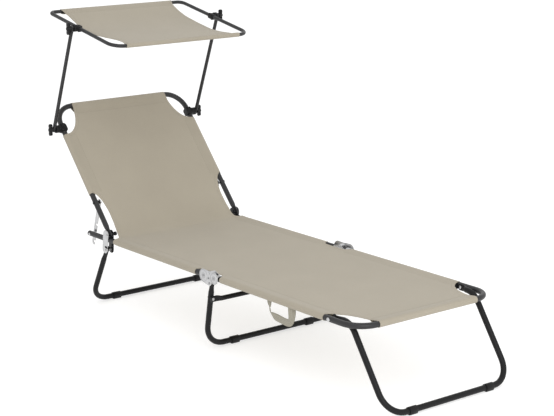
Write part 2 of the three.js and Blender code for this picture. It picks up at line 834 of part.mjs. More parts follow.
// Foot frame: one bent tube, open at both ends inside the hinge leaves
function footFrame() {
  const inner = spot(railInset, railHeight);
  const outer = spot(footLength, railHeight);
  const corners = [
    sideways(inner, railY), sideways(outer, railY), sideways(outer, -railY), sideways(inner, -railY),
  ];
  const tube = solid(tubeGeometry(route(corners, [footCorner, footCorner]), frameRadius));
  const bores = [1, -1].map((side) => {
    const bore = new THREE.CylinderGeometry(frameRadius - frameWall, frameRadius - frameWall, 2 * frameTube, 12);
    return solid(bore.rotateZ(Math.PI / 2).translate(railInset, side * railY, railHeight));
  });
  const drills = [spot(footLobeReach, railHeight), footLegBolt].map((point) => (
    pin(point, boltShank / 2 + clearance, -armY, armY)
  ));
  place("foot_frame", "frame", [...bores, ...drills].reduce((body, cut) => body.subtract(cut), tube));
}

function footLegBoltNode(suffix, side) {
  const tongueOuter = footLegY + frameRadius;
  const tongueInner = tongueOuter - tongueThickness;
  const profile = [
    ...domed(smallHeadRadius, smallHeadHeight, -1)(tongueInner - clearance),
    [boltShank / 2, tongueInner - clearance], [boltShank / 2, tongueOuter + clearance],
    [bushRadius, tongueOuter + clearance], [bushRadius, innerPlate],
    [boltShank / 2, innerPlate], [boltShank / 2, outerPlate],
    ...domed(headRadius, headHeight, 1)(outerPlate),
  ];
  place("foot_leg_bolt_" + suffix, "zinc", turned(footLegBolt, profile, side));
}

// Legs
function straightLeg(pivot, foot, y, corner, shift, tip = frameTip) {
  const direction = foot.clone().sub(pivot).normalize();
  const start = along(pivot, direction, -tongueRadius);
  return hoop([start, foot], y, [corner], shift, tip);
}

function rearLeg() {
  const tip = { ...frameTip, flat: rearTongueStraight };
  const shift = rearTongue - rearLegY;
  const leg = straightLeg(rearLegPivot, rearLegFoot, rearLegY, rearCorner, shift, tip);
  place("rear_leg", "frame", leg);
}

function crossbarParts() {
  const direction = midLegFoot.clone().sub(midLegPivot).normalize();
  const front = spot(-direction.z, direction.x);
  const seat = along(midLegPivot, direction, crossbarDrop);
  return { front, seat, lap: frameRadius + clearance };
}

// A cylinder through the leg along its front direction
function frontPin(seat, front, y, radius, from, to, sides = 14) {
  const geometry = new THREE.CylinderGeometry(radius, radius, to - from, sides);
  geometry.translate(0, (from + to) / 2, 0).rotateX(Math.PI / 2).rotateY(Math.PI / 2);
  geometry.rotateY(-Math.atan2(front.z, front.x));
  return solid(geometry.translate(seat.x, y, seat.z));
}

function midLeg() {
  const { front, seat } = crossbarParts();
  let body = straightLeg(midLegPivot, midLegFoot, railY, legCorner, 0);
  for (const side of [1, -1]) {
    const reach = 2 * frameTube;
    body = body.subtract(frontPin(seat, front, side * railY, boltShank / 2, -reach, reach));
  }
  place("mid_leg", "frame", body);
}

function midLegCrossbar() {
  const { front, seat, lap } = crossbarParts();
  const radius = crossbarTube / 2;
  const centre = along(seat, front, lap + radius);
  const tips = [railY + tongueRadius, -railY - tongueRadius].map((y) => sideways(centre, y));
  const geometry = tubeGeometry(route(tips, [], tipRings(frameTip)), radius);
  const shift = radius - tongueThickness / 2;
  const ends = tips.map((tip, i) => ({
    tip,
    inward: new THREE.Vector3(0, i ? 1 : -1, 0),
    pressed: front.clone().negate(),
    shift,
  }));
  let body = solid(pressTips(geometry, radius, frameTip, ends));
  for (const side of [1, -1]) {
    const y = side * railY;
    const outerFace = lap + tongueThickness;
    const shank = boltShank / 2 - clearance;
    body = body
      .add(frontPin(seat, front, y, shank, -frameRadius - smallHeadHeight, outerFace))
      .add(frontPin(seat, front, y, smallHeadRadius, outerFace - clearance, outerFace + smallHeadHeight))
      .add(frontPin(seat, front, y, smallHeadRadius, -lap - smallHeadHeight, -lap));
  }
  place("mid_leg_crossbar", "frame", body);
}

function footLeg() {
  const tip = along(footLegBolt, spot(-1, 0), tongueRadius);
  const profile = [tip, footLegCrank, footLegGround];
  const shift = frameRadius - tongueThickness / 2;
  place("foot_leg", "frame", hoop(profile, footLegY, [footLegCrankBend, legCorner], shift));
}

// Pads on the ground bars, flat underneath
function groundPad(name, foot, y) {
  const outline = hull([
    ...circle(foot.x, foot.z, padRadius, 20),
    new THREE.Vector2(foot.x - padFoot / 2, foot.z - padRadius),
    new THREE.Vector2(foot.x + padFoot / 2, foot.z - padRadius),
  ]);
  const body = plate(outline, y - padLength / 2, y + padLength / 2);
  const bore = pin(foot, frameRadius + clearance, y - padLength, y + padLength, 16);
  place(name, "plastic", body.subtract(bore));
}

// Cloth
const sleeveIn = frameRadius + clearance;
const sleeveOut = sleeveIn + sleeveWall;
const sheetReach = sleeveOut - clothRise / 2;

function flatSheet(points) {
  const geometry = new THREE.ExtrudeGeometry(new THREE.Shape(points), {
    depth: clothThickness,
    bevelEnabled: false,
  });
  return solid(geometry);
}

// A sleeve along X in the cloth's own plane
function sleeveAlong(from, to, y, inner, outer, drop) {
  const ring = new THREE.Shape(circle(0, 0, outer, 14, 0.5));
  ring.holes.push(new THREE.Path(circle(0, 0, inner, 14, 0.5)));
  const geometry = new THREE.ExtrudeGeometry(ring, { depth: to - from, bevelEnabled: false });
  return solid(geometry.rotateY(Math.PI / 2).translate(from, y, -drop));
}

function sleeveAcross(x, span, inner, outer, drop) {
  const ring = new THREE.Shape(circle(0, 0, outer, 14, 0.5));
  ring.holes.push(new THREE.Path(circle(0, 0, inner, 14, 0.5)));
  const geometry = new THREE.ExtrudeGeometry(ring, { depth: span, bevelEnabled: false });
  return solid(geometry.rotateX(Math.PI / 2).translate(x, span / 2, -drop));
}

// Points of a sagging free edge between two places, as seen from above
function sagging(from, to, sagShares, depth) {
  const direction = to.clone().sub(from);
  const normal = new THREE.Vector2(-direction.y, direction.x).normalize();
  return sagShares.map(([share, sag]) => (
    from.clone().addScaledVector(direction, share).addScaledVector(normal, sag * depth)
  ));
}

const hipEdgeShares = [[0.35, 0.04], [0.62, 0.14], [0.8, 0.32], [0.91, 0.6]];
const cornerSagShares = [[0.2, 0.62], [0.4, 0.95], [0.6, 0.95], [0.8, 0.62]];

function mirrored(points) {
  return [...points, ...[...points].reverse().map((p) => new THREE.Vector2(p.x, -p.y))];
}

const sleeveEdge = railY - sheetReach;

function seatCloth() {
  const side = [
    new THREE.Vector2(-seatClothEnd, -freeEdge),
    new THREE.Vector2(-seatSleeveStart, -sleeveEdge),
    new THREE.Vector2(-seatSleeveEnd, -sleeveEdge),
    new THREE.Vector2(-seatSleeveEnd + foldGap, -freeEdge - foldGap / 2),
    new THREE.Vector2(-foldGap, -freeEdge - foldGap / 2),
  ];
  const sheet = flatSheet(mirrored(side));
  const sleeves = [1, -1].map((s) => (
    sleeveAlong(-seatSleeveStart, -seatSleeveEnd, s * railY, sleeveIn, sleeveOut, clothRise)
  ));
  const body = joined(sheet, ...sleeves).translate([0, 0, railHeight + clothRise]);
  place("seat_fabric", "cloth", body);
}

function footCloth() {
  const cornerFrom = new THREE.Vector2(footSleeveEnd, -sleeveEdge);
  const cornerTo = new THREE.Vector2(footLength - sheetReach, -endSleeveSpan / 2);
  const side = [
    new THREE.Vector2(foldGap, -freeEdge - foldGap / 2),
    new THREE.Vector2(footSleeveStart - foldGap, -freeEdge - foldGap / 2),
    new THREE.Vector2(footSleeveStart, -sleeveEdge),
    cornerFrom,
    ...sagging(cornerFrom, cornerTo, cornerSagShares, frameTube),
    cornerTo,
  ];
  const sheet = flatSheet(mirrored(side));
  const sleeves = [1, -1].map((s) => (
    sleeveAlong(footSleeveStart, footSleeveEnd, s * railY, sleeveIn, sleeveOut, clothRise)
  ));
  const end = sleeveAcross(footLength, endSleeveSpan, sleeveIn, sleeveOut, clothRise);
  const body = joined(sheet, ...sleeves, end).translate([0, 0, railHeight + clothRise]);
  place("foot_fabric", "cloth", body);
}

// Turns a cloth made flat so that it lies along a direction in the upright plane
function tilted(body, origin, direction, up) {
  const basis = new THREE.Matrix4().makeBasis(direction, up.clone().cross(direction), up);
  basis.setPosition(origin.x, 0, origin.z);
  return solid(surface(body).applyMatrix4(basis));
}

function backrestCloth() {
  const topEdge = backrestLength - sheetReach;
  const cornerFrom = new THREE.Vector2(backSleeveEnd, -sleeveEdge);
  const cornerTo = new THREE.Vector2(topEdge, -topSleeveSpan / 2);
  const freeFrom = new THREE.Vector2(backClothStart, -freeEdge);
  const freeTo = new THREE.Vector2(backSleeveStart, -sleeveEdge);
  const side = [
    freeFrom,
    ...hipEdgeShares.map(([run, width]) => new THREE.Vector2(
      backClothStart + run * (backSleeveStart - backClothStart),
      -freeEdge - width * (sleeveEdge - freeEdge),
    )),
    freeTo,
    cornerFrom,
    ...sagging(cornerFrom, cornerTo, cornerSagShares, 2 * frameTube / 3),
    cornerTo,
  ];
  const sheet = flatSheet(mirrored(side));
  const sleeves = [1, -1].map((s) => (
    sleeveAlong(backSleeveStart, backSleeveEnd, s * railY, sleeveIn, sleeveOut, clothRise)
  ));
  const top = sleeveAcross(backrestLength, topSleeveSpan, sleeveIn, sleeveOut, clothRise);
  const body = joined(sheet, ...sleeves, top);
  const origin = along(backHinge, backFront, clothRise);
  place("backrest_fabric", "cloth", tilted(body, origin, backDir, backFront));
}

// How far the canopy cloth hangs between its tubes, as shares of the depth and of the lowest place
const canopyHangShares = [[0.05, 0.14], [0.1, 0.32], [0.16, 0.54], [0.22, 0.74], [0.29, 0.9], [0.37, 0.98],
  [0.45, 1], [0.53, 0.94], [0.61, 0.81], [0.69, 0.65], [0.77, 0.48], [0.85, 0.28], [0.93, 0.11]];
const canopyEdgeShares = [[0.04, 0.75], [0.12, 0.72], [0.25, 0.74], [0.37, 0.84], [0.45, 0.8], [0.53, 0.66],
  [0.61, 0.4], [0.69, 0.12], [0.76, 0], [0.84, 0.12], [0.9, 0.35], [0.95, 0.62]];

function canopyCloth() {
  const inner = canopyTube / 2 + clearance;
  const outer = inner + sleeveWall;
  const rise = canopyTube / 4;
  const reach = outer - rise / 2;
  const half = canopySleeveSpan / 2;
  const waist = half - canopyDepth * canopyWaistShare;
  const side = [
    new THREE.Vector2(reach, -half),
    ...canopyEdgeShares.map(([share, width]) => (
      new THREE.Vector2(share * canopyDepth, -(waist + (half - waist) * width))
    )),
    new THREE.Vector2(canopyDepth - reach, -half),
  ].filter((point) => point.x >= reach && point.x <= canopyDepth - reach);
  const line = [
    new THREE.Vector2(reach, 0),
    ...canopyHangShares.map(([share, low]) => (
      new THREE.Vector2(share * canopyDepth, -low * (canopyHang + rise))
    )),
    new THREE.Vector2(canopyDepth - reach, 0),
  ];
  const upper = [...line].reverse().map((p) => new THREE.Vector2(p.x, p.y + clothThickness));
  const hung = new THREE.ExtrudeGeometry(new THREE.Shape([...line, ...upper]), {
    depth: canopySleeveSpan + 2 * rise,
    bevelEnabled: false,
  });
  hung.rotateX(Math.PI / 2).translate(0, half + rise, 0);
  const cut = new THREE.ExtrudeGeometry(new THREE.Shape(mirrored(side)), {
    depth: 2 * (canopyHang + 2 * rise),
    bevelEnabled: false,
  });
  cut.translate(0, 0, -canopyHang - 2 * rise);
  const sheet = solid(hung).intersect(solid(cut));
  const sleeves = [0, canopyDepth].map((x) => (
    sleeveAcross(x, canopySleeveSpan, inner, outer, rise)
  ));
  const body = joined(sheet, ...sleeves);
  const origin = along(canopyBack, canopyUp, rise);
  place("canopy_fabric", "cloth", tilted(body, origin, canopyDir, canopyUp));
}

// Carry handle: a flat webbing loop below the sleeve of the right rail
function carryHandle() {
  const top = railHeight - sleeveOut - clearance;
  const left = handleStart;
  const right = handleStart + handleLength;
  const low = top - handleDrop;
  const half = strapWidth / 2;
  const outer = [
    new THREE.Vector2(left - half, top),
    new THREE.Vector2(left - half + handleLean, low + half / 2),
    new THREE.Vector2(left + handleLean, low),
    new THREE.Vector2(right - half / 2, low - half / 2),
    new THREE.Vector2(right + half, low + half),
    new THREE.Vector2(right + half - handleLean / 2, top),
    new THREE.Vector2(right - half - handleLean / 2, top),
    new THREE.Vector2(right - half, low + strapWidth),
    new THREE.Vector2(left + half + handleLean, low + strapWidth),
    new THREE.Vector2(left + half, top),
  ];
  const middle = -railY;
  place("carry_handle", "webbing", plate(outer, middle - strapThickness / 2, middle + strapThickness / 2));
}

for (const [suffix, side] of [["left", 1], ["right", -1]]) {
  seatRail("seat_rail_" + suffix, side);
  rearPlates(suffix, side);
  rearFasteners(suffix, side);
  catchPinNode(suffix, side);
  seatLeaf(suffix, side);
  footLeaf(suffix, side);
  foldFasteners(suffix, side);
  reclineStay(suffix, side);
  stayRivet(suffix, side);
  lowerClamp(suffix, side);
  upperClamp(suffix, side);
  canopyArm(suffix, side);
  wingKnob("lower_knob_" + suffix, side, lowerClampAxis, knobAngle);
  wingKnob("upper_knob_" + suffix, side, upperClampAxis, knobAngle);
  footLegBoltNode(suffix, side);
  groundPad("rear_pad_" + suffix, rearLegFoot, side * (rearLegY - rearPadInset));
  groundPad("mid_pad_" + suffix, midLegFoot, side * (railY - midPadInset));
  groundPad("foot_pad_" + suffix, footLegGround, side * (footLegY - footPadInset));
}
backrestFrame();
canopyFrame();
footFrame();
rearLeg();
midLeg();
midLegCrossbar();
footLeg();
seatCloth();
footCloth();
backrestCloth();
canopyCloth();
carryHandle();

// The frame's origin is the middle of the underside of the whole
const bounds = new THREE.Box3().setFromObject(whole);
const middle = bounds.getCenter(new THREE.Vector3());
whole.position.set(-middle.x, -middle.y, -bounds.min.z);

export default whole;
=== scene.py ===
import math
from contextlib import contextmanager

import bmesh
import bpy
from mathutils import Matrix, Vector


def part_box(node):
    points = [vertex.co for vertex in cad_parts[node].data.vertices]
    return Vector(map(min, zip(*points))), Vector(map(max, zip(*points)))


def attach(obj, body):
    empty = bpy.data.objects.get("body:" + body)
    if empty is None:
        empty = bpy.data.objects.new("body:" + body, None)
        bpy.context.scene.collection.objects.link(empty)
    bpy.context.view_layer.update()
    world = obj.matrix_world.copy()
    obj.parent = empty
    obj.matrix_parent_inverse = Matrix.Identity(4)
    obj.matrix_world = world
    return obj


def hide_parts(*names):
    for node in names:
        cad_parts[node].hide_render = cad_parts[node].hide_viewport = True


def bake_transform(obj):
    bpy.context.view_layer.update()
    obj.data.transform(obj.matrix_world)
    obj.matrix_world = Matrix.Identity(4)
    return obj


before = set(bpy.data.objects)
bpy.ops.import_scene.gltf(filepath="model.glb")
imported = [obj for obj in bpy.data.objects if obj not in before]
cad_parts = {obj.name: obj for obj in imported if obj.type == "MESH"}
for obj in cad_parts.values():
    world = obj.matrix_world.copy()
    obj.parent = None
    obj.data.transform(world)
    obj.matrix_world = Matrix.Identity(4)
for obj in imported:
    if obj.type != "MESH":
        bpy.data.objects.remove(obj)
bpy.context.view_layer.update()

MM = 0.001
fold_low, fold_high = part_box("hinge_pin_left")
SHIFT = (fold_low.x + fold_high.x) / 2

# Sizes of the lounger, from the middle fold
TUBE = 9.5 * MM
RAIL_Y = 280 * MM
RAIL_Z = 258 * MM
SEAT = 606 * MM
FOOT = 718 * MM
BACK = 540 * MM
BACK_ANGLE = math.radians(131.5)
ARM_ANGLE = math.radians(69.3)
CANOPY_ANGLE = math.radians(-10.8)
CANOPY_DEPTH = 428.5 * MM
CANOPY_Y = 290 * MM
CANOPY_TUBE = 6.5 * MM
ARM_TUBE = 6.5 * MM
ARM_Y = 316 * MM
TONGUE = 11 * MM
GROUND = 12 * MM
GAP = 0.3 * MM
OUTER_FACE = RAIL_Y + TUBE + GAP
INNER_FACE = RAIL_Y - TUBE - GAP


def at(x, z, y=0.0):
    """A point by its distance from the middle fold and its height, in millimetres."""
    return Vector((x * MM + SHIFT, y * MM, z * MM))


def along(point, angle, distance):
    return point + Vector((math.cos(angle), 0, math.sin(angle))) * distance


def across(point, y):
    return Vector((point.x, y, point.z))


HINGE = at(-606, 279.1)
BACK_DIR = Vector((math.cos(BACK_ANGLE), 0, math.sin(BACK_ANGLE)))
BACK_FRONT = Vector((BACK_DIR.z, 0, -BACK_DIR.x))
STAY_PIVOT = along(HINGE, BACK_ANGLE, 132 * MM)
LOWER_CLAMP = along(HINGE, BACK_ANGLE, 451 * MM)
UPPER_CLAMP = along(LOWER_CLAMP, ARM_ANGLE, 406 * MM)
CANOPY_DIR = Vector((math.cos(CANOPY_ANGLE), 0, math.sin(CANOPY_ANGLE)))
CANOPY_UP = Vector((-CANOPY_DIR.z, 0, CANOPY_DIR.x))
CANOPY_BACK = UPPER_CLAMP - CANOPY_DIR * CANOPY_DEPTH * 0.46
REAR_PIVOT = at(-617, 222)
REAR_GROUND = at(-724, 12)
MID_PIVOT = at(1, 237)
MID_GROUND = at(-37, 12)
FOOT_BOLT = at(593, 258)
FOOT_CRANK = at(593 + 33 + 1 + 60 * math.tan(math.radians(55.9) / 2), 258)
FOOT_GROUND = Vector((FOOT_CRANK.x + 246 * MM / math.tan(math.radians(55.9)), 0, GROUND))
FOLD = at(0, 271)


# Handling of meshes
def named(name):
    piece = bpy.context.object
    piece.name = name
    piece.data.name = name
    return piece


def settle():
    bpy.ops.object.transform_apply(location=True, rotation=True, scale=True)


def clear():
    bpy.ops.object.select_all(action="DESELECT")


def hold(piece):
    clear()
    piece.select_set(True)
    bpy.context.view_layer.objects.active = piece
    return piece


@contextmanager
def editing(piece):
    hold(piece)
    bpy.ops.object.mode_set(mode="EDIT")
    yield
    bpy.ops.object.mode_set(mode="OBJECT")


def pick(piece, test, kind="VERT"):
    """In edit mode, selects the vertices, edges or faces that pass a test of their place."""
    bpy.ops.mesh.select_mode(type=kind)
    bpy.ops.mesh.select_all(action="DESELECT")
    mesh = bmesh.from_edit_mesh(piece.data)
    parts = {"VERT": mesh.verts, "EDGE": mesh.edges, "FACE": mesh.faces}[kind]
    for part in parts:
        if kind == "VERT":
            part.select = test(part.co)
        elif kind == "EDGE":
            part.select = all(test(v.co) for v in part.verts)
        else:
            part.select = test(part.calc_center_median(), part.normal)
    mesh.select_flush_mode()
    bmesh.update_edit_mesh(piece.data)


def pull(move):
    bpy.ops.mesh.extrude_region_move(TRANSFORM_OT_translate={"value": tuple(move)})


def swell(factors, centre):
    bpy.ops.transform.resize(value=tuple(factors), center_override=tuple(centre))


def outward(piece):
    """Merges doubles and turns the faces outwards."""
    with editing(piece):
        bpy.ops.mesh.select_all(action="SELECT")
        bpy.ops.mesh.remove_doubles(threshold=1e-6)
        bpy.ops.mesh.normals_make_consistent(inside=False)
    return piece


def modify(piece, kind, **settings):
    hold(piece)
    modifier = piece.modifiers.new(kind.title(), kind)
    for key, value in settings.items():
        setattr(modifier, key, value)
    bpy.ops.object.modifier_apply(modifier=modifier.name)
    return piece


def rounded(piece, width=0.4 * MM, segments=2, angle=40):
    return modify(piece, "BEVEL", width=width, segments=segments, limit_method="ANGLE",
                  angle_limit=math.radians(angle), use_clamp_overlap=True, harden_normals=False)


def smooth(piece, angle=35):
    hold(piece)
    bpy.ops.object.shade_smooth_by_angle(angle=math.radians(angle))
    return piece


def placed(piece, matrix):
    piece.data.transform(matrix)
    piece.data.update()
    return piece


def other_side(piece, name):
    """A copy for the opposite side of the lounger, with a mesh of its own."""
    copy = piece.copy()
    copy.data = piece.data.copy()
    copy.data.transform(Matrix.Diagonal((1, -1, 1, 1)))
    copy.data.flip_normals()
    copy.name = name
    copy.data.name = name
    bpy.context.scene.collection.objects.link(copy)
    return copy


def fused(name, pieces):
    clear()
    for piece in pieces:
        piece.select_set(True)
    bpy.context.view_layer.objects.active = pieces[0]
    bpy.ops.object.join()
    return named(name)


def lean(angle):
    """Turns what was made along Z so that it lies along an angle in the upright plane."""
    return Matrix.Rotation(math.pi / 2 - angle, 4, "Y")


# Bent tube
def bent_tube(name, corners, radii, radius, sides=24, start_rings=(), end_rings=(), open_ends=True):
    """A tube drawn out from a ring along straight runs and spun round each bend."""
    clear()
    first = (corners[1] - corners[0]).normalized()
    bpy.ops.mesh.primitive_circle_add(
        vertices=sides, radius=radius, fill_type="NOTHING", location=corners[0],
        rotation=first.to_track_quat("Z", "Y").to_euler())
    tube = named(name)
    settle()
    here = corners[0].copy()
    with editing(tube):
        bpy.ops.mesh.select_all(action="SELECT")
        for distance in start_rings:
            goal = corners[0] + first * distance
            pull(goal - here)
            here = goal
        for i in range(1, len(corners) - 1):
            into = (corners[i] - corners[i - 1]).normalized()
            out = (corners[i + 1] - corners[i]).normalized()
            turn = into.angle(out)
            reach = radii[i - 1] * math.tan(turn / 2)
            start = corners[i] - into * reach
            if (start - here).length > 1e-5:
                pull(start - here)
            inward = (out - into * math.cos(turn)).normalized()
            centre = start + inward * radii[i - 1]
            bpy.ops.mesh.spin(steps=max(4, round(math.degrees(turn) / 7.5)), dupli=False, angle=-turn,
                              use_auto_merge=False, center=centre, axis=into.cross(out).normalized())
            here = corners[i] + out * reach
        last = (corners[-1] - corners[-2]).normalized()
        for distance in [*end_rings, 0.0]:
            goal = corners[-1] - last * distance
            if (goal - here).length > 1e-6:
                pull(goal - here)
            here = goal
    if open_ends:
        hollow_ends(tube, corners, radius)
    else:
        cap_ends(tube, corners, radius)
    return smooth(outward(tube), 50)


def near_end(point, direction, radius):
    def test(place):
        offset = place - point
        return abs(offset.dot(direction)) < 1e-5 and offset.length < 1.6 * radius
    return test


def tube_ends(corners):
    return [
        (corners[0], (corners[1] - corners[0]).normalized()),
        (corners[-1], (corners[-2] - corners[-1]).normalized()),
    ]


def cap_ends(tube, corners, radius):
    for point, inward in tube_ends(corners):
        with editing(tube):
            pick(tube, near_end(point, inward, radius))
            bpy.ops.mesh.edge_face_add()


def hollow_ends(tube, corners, radius, wall=1.2 * MM, depth=30 * MM):
    """Cut tube ends: a rim as wide as the wall, and the bore behind it."""
    for point, inward in tube_ends(corners):
        with editing(tube):
            pick(tube, near_end(point, inward, radius))
            pull((0, 0, 0))
            swell([(radius - wall) / radius] * 3, point)
            pull(inward * depth)
            bpy.ops.mesh.edge_face_add()


TIP_RINGS = [TONGUE * (1 - math.cos(math.radians(a))) for a in (12, 30, 50, 70, 90)]


def tip_rings(flat, taper=18 * MM):
    return [*TIP_RINGS, flat, flat + taper * 0.33, flat + taper * 0.66, flat + taper]


def press_tip(tube, tip, axis, radius, flat, taper, shift=0.0, thick=4 * MM, wide=TONGUE):
    """Presses one end of a tube flat across the lounger. The tube runs from its tip along X or Z."""
    sideways = Vector((0, 0, 1)) if abs(axis.x) > 0.5 else Vector((1, 0, 0))
    with editing(tube):
        for distance in tip_rings(flat, taper):
            blend = min(1.0, max(0.0, (flat + taper - distance) / taper))
            blend = blend * blend * (3 - 2 * blend)
            if blend == 0:
                continue
            back = max(0.0, wide - distance) / wide
            width = wide * math.sqrt(max(0.0, 1 - back * back))
            centre = tip + axis * distance
            ring = near_end(centre, axis, radius)
            stretch = 1 + (width / radius - 1) * blend
            squeeze = 1 + (thick / radius - 1) * blend
            factors = [1 + (stretch - 1) * abs(sideways.x), squeeze, 1 + (stretch - 1) * abs(sideways.z)]
            pick(tube, ring)
            swell(factors, centre)
            if blend > 0.98:
                for side in (1, -1):
                    face = centre.y + side * thick / 2
                    pick(tube, lambda p: ring(p) and (p.y - face) * side > 0)
                    swell((1, 0, 1), (centre.x, face, centre.z))
            if shift:
                pick(tube, ring)
                bpy.ops.transform.translate(value=(0, shift * blend, 0))
    return tube


# Frame tubes
def hoop(name, profile, y, radii, flat=26 * MM, shift=0.0, axis=None):
    """One tube from a flat tip on the left, across the lounger, to a flat tip on the right.
    A slanted leg is made hanging straight down and then turned about its pivot."""
    left = [across(p, y) for p in profile]
    right = [across(p, -y) for p in reversed(profile)]
    corners = [*left, *right]
    rings = tip_rings(flat)
    bends = [*radii, *reversed(radii)]
    tube = bent_tube(name, corners, bends, TUBE, start_rings=rings, end_rings=rings[::-1], open_ends=False)
    for corner, side in ((corners[0], 1), (corners[-1], -1)):
        press_tip(tube, corner, axis, TUBE, flat, 18 * MM, shift=side * shift)
    return smooth(tube, 50)


def slanted_hoop(name, pivot, foot, y, radius, flat=26 * MM, shift=0.0):
    length = (foot - pivot).length
    down = Vector((0, 0, -1))
    tube = hoop(name, [-down * TONGUE, down * length], y, [radius], flat, shift, axis=down)
    direction = (foot - pivot).normalized()
    turn = down.rotation_difference(direction).to_matrix().to_4x4()
    return placed(tube, Matrix.Translation(pivot) @ turn)


def make_frame_tubes():
    tubes = {}
    catch = STAY_PIVOT.x + math.tan(math.radians(16)) * (RAIL_Z - STAY_PIVOT.z) + 1.2 * MM
    rail = bent_tube("seat_rail_tube_left", [
        Vector((catch - 13.5 * MM, RAIL_Y, RAIL_Z)), across(at(-20, 258), RAIL_Y)], [], TUBE)
    tubes[rail] = ("seat_section", ["seat_rail_left"])
    tubes[other_side(rail, "seat_rail_tube_right")] = ("seat_section", ["seat_rail_right"])
    inner, outer = at(20, 258), at(718, 258)
    foot = bent_tube("foot_frame_tube", [
        across(inner, RAIL_Y), across(outer, RAIL_Y), across(outer, -RAIL_Y), across(inner, -RAIL_Y)],
        [72 * MM, 72 * MM], TUBE)
    tubes[foot] = ("foot_section", ["foot_frame"])
    back = hoop("backrest_tube", [Vector((0, 0, -TONGUE)), Vector((0, 0, BACK))], RAIL_Y, [72 * MM],
                axis=Vector((0, 0, 1)))
    tubes[placed(back, Matrix.Translation(HINGE) @ lean(BACK_ANGLE))] = ("backrest", ["backrest_frame"])
    rear = slanted_hoop("rear_leg_tube", REAR_PIVOT, REAR_GROUND, 288 * MM, 66 * MM, 38 * MM,
                        OUTER_FACE - 2.6 * MM - 288 * MM)
    tubes[rear] = ("rear_leg", ["rear_leg"])
    mid = slanted_hoop("middle_leg_tube", MID_PIVOT, MID_GROUND, RAIL_Y, 72 * MM)
    tubes[mid] = ("mid_leg", ["mid_leg"])
    tip = FOOT_BOLT + Vector((-TONGUE, 0, 0))
    leg = hoop("foot_leg_tube", [tip, FOOT_CRANK, FOOT_GROUND], 257 * MM, [60 * MM, 72 * MM],
               shift=7 * MM, axis=Vector((1, 0, 0)))
    tubes[leg] = ("foot_leg", ["foot_leg"])
    tubes[make_crossbar()] = ("mid_leg", ["mid_leg_crossbar"])
    front = CANOPY_BACK + CANOPY_DIR * CANOPY_DEPTH
    loop = bent_tube("canopy_tube", [
        across(CANOPY_BACK, 0.0), across(CANOPY_BACK, CANOPY_Y), across(front, CANOPY_Y),
        across(front, -CANOPY_Y), across(CANOPY_BACK, -CANOPY_Y), across(CANOPY_BACK, 0.0)],
        [24 * MM, 45 * MM, 45 * MM, 24 * MM], CANOPY_TUBE, sides=20, open_ends=False)
    tubes[loop] = ("canopy", ["canopy_frame"])
    arm = make_arm()
    tubes[arm] = ("canopy_arms", ["canopy_arm_left"])
    tubes[other_side(arm, "arm_tube_right")] = ("canopy_arms", ["canopy_arm_right"])
    return tubes


def make_crossbar():
    """The thinner bar below the hinges, with flat ends lapped on the front of the middle leg."""
    direction = (MID_GROUND - MID_PIVOT).normalized()
    front = Vector((-direction.z, 0, direction.x))
    seat = MID_PIVOT + direction * 53 * MM
    radius = 8 * MM
    reach = RAIL_Y + TONGUE
    rings = tip_rings(26 * MM)
    bar = bent_tube("crossbar_tube", [Vector((reach, 0, 0)), Vector((-reach, 0, 0))], [], radius,
                    start_rings=rings, end_rings=rings[::-1], open_ends=False)
    for side in (1, -1):
        press_tip(bar, Vector((side * reach, 0, 0)), Vector((-side, 0, 0)), radius, 26 * MM, 18 * MM, shift=-6 * MM)
    frame_axes = Matrix((Vector((0, -1, 0)), front, -direction)).transposed().to_4x4()
    centre = seat + front * (TUBE + 0.3 * MM + radius)
    return smooth(outward(placed(bar, Matrix.Translation(centre) @ frame_axes)), 50)


def crossbar_rivet():
    """The rivet that holds a flat end of the crossbar on the leg: two domed heads and a shank."""
    direction = (MID_GROUND - MID_PIVOT).normalized()
    front = Vector((-direction.z, 0, direction.x))
    seat = MID_PIVOT + direction * 53 * MM
    lap = TUBE + 0.3 * MM
    parts = []
    for profile, start, way in ((SMALL_DOME, lap + 4 * MM, 1), (SMALL_DOME, -lap, -1),
                                ([(3.2, 0), (3.2, 24.4)], -lap - 0.2 * MM, 1)):
        turn = (front * way).to_track_quat("Z", "Y").to_matrix().to_4x4()
        place = Matrix.Translation(across(seat + front * start, RAIL_Y))
        parts.append(placed(turned("rivet_part", profile), place @ turn))
    return fused("crossbar_rivet_left", parts)


def make_arm():
    rings = [8 * MM * (1 - math.cos(math.radians(a))) for a in (12, 35, 60, 90)] + [24 * MM, 30 * MM, 36 * MM]
    length = 406 * MM
    low, high = Vector((0, 0, -8 * MM)), Vector((0, 0, length + 8 * MM))
    arm = bent_tube("arm_tube_left", [low, high], [], ARM_TUBE, sides=20,
                    start_rings=rings, end_rings=rings[::-1], open_ends=False)
    for tip, axis in ((low, Vector((0, 0, 1))), (high, Vector((0, 0, -1)))):
        press_tip(arm, tip, axis, ARM_TUBE, 24 * MM, 12 * MM, thick=8 * MM, wide=8 * MM)
    start = across(LOWER_CLAMP, ARM_Y)
    return smooth(placed(arm, Matrix.Translation(start) @ lean(ARM_ANGLE)), 50)


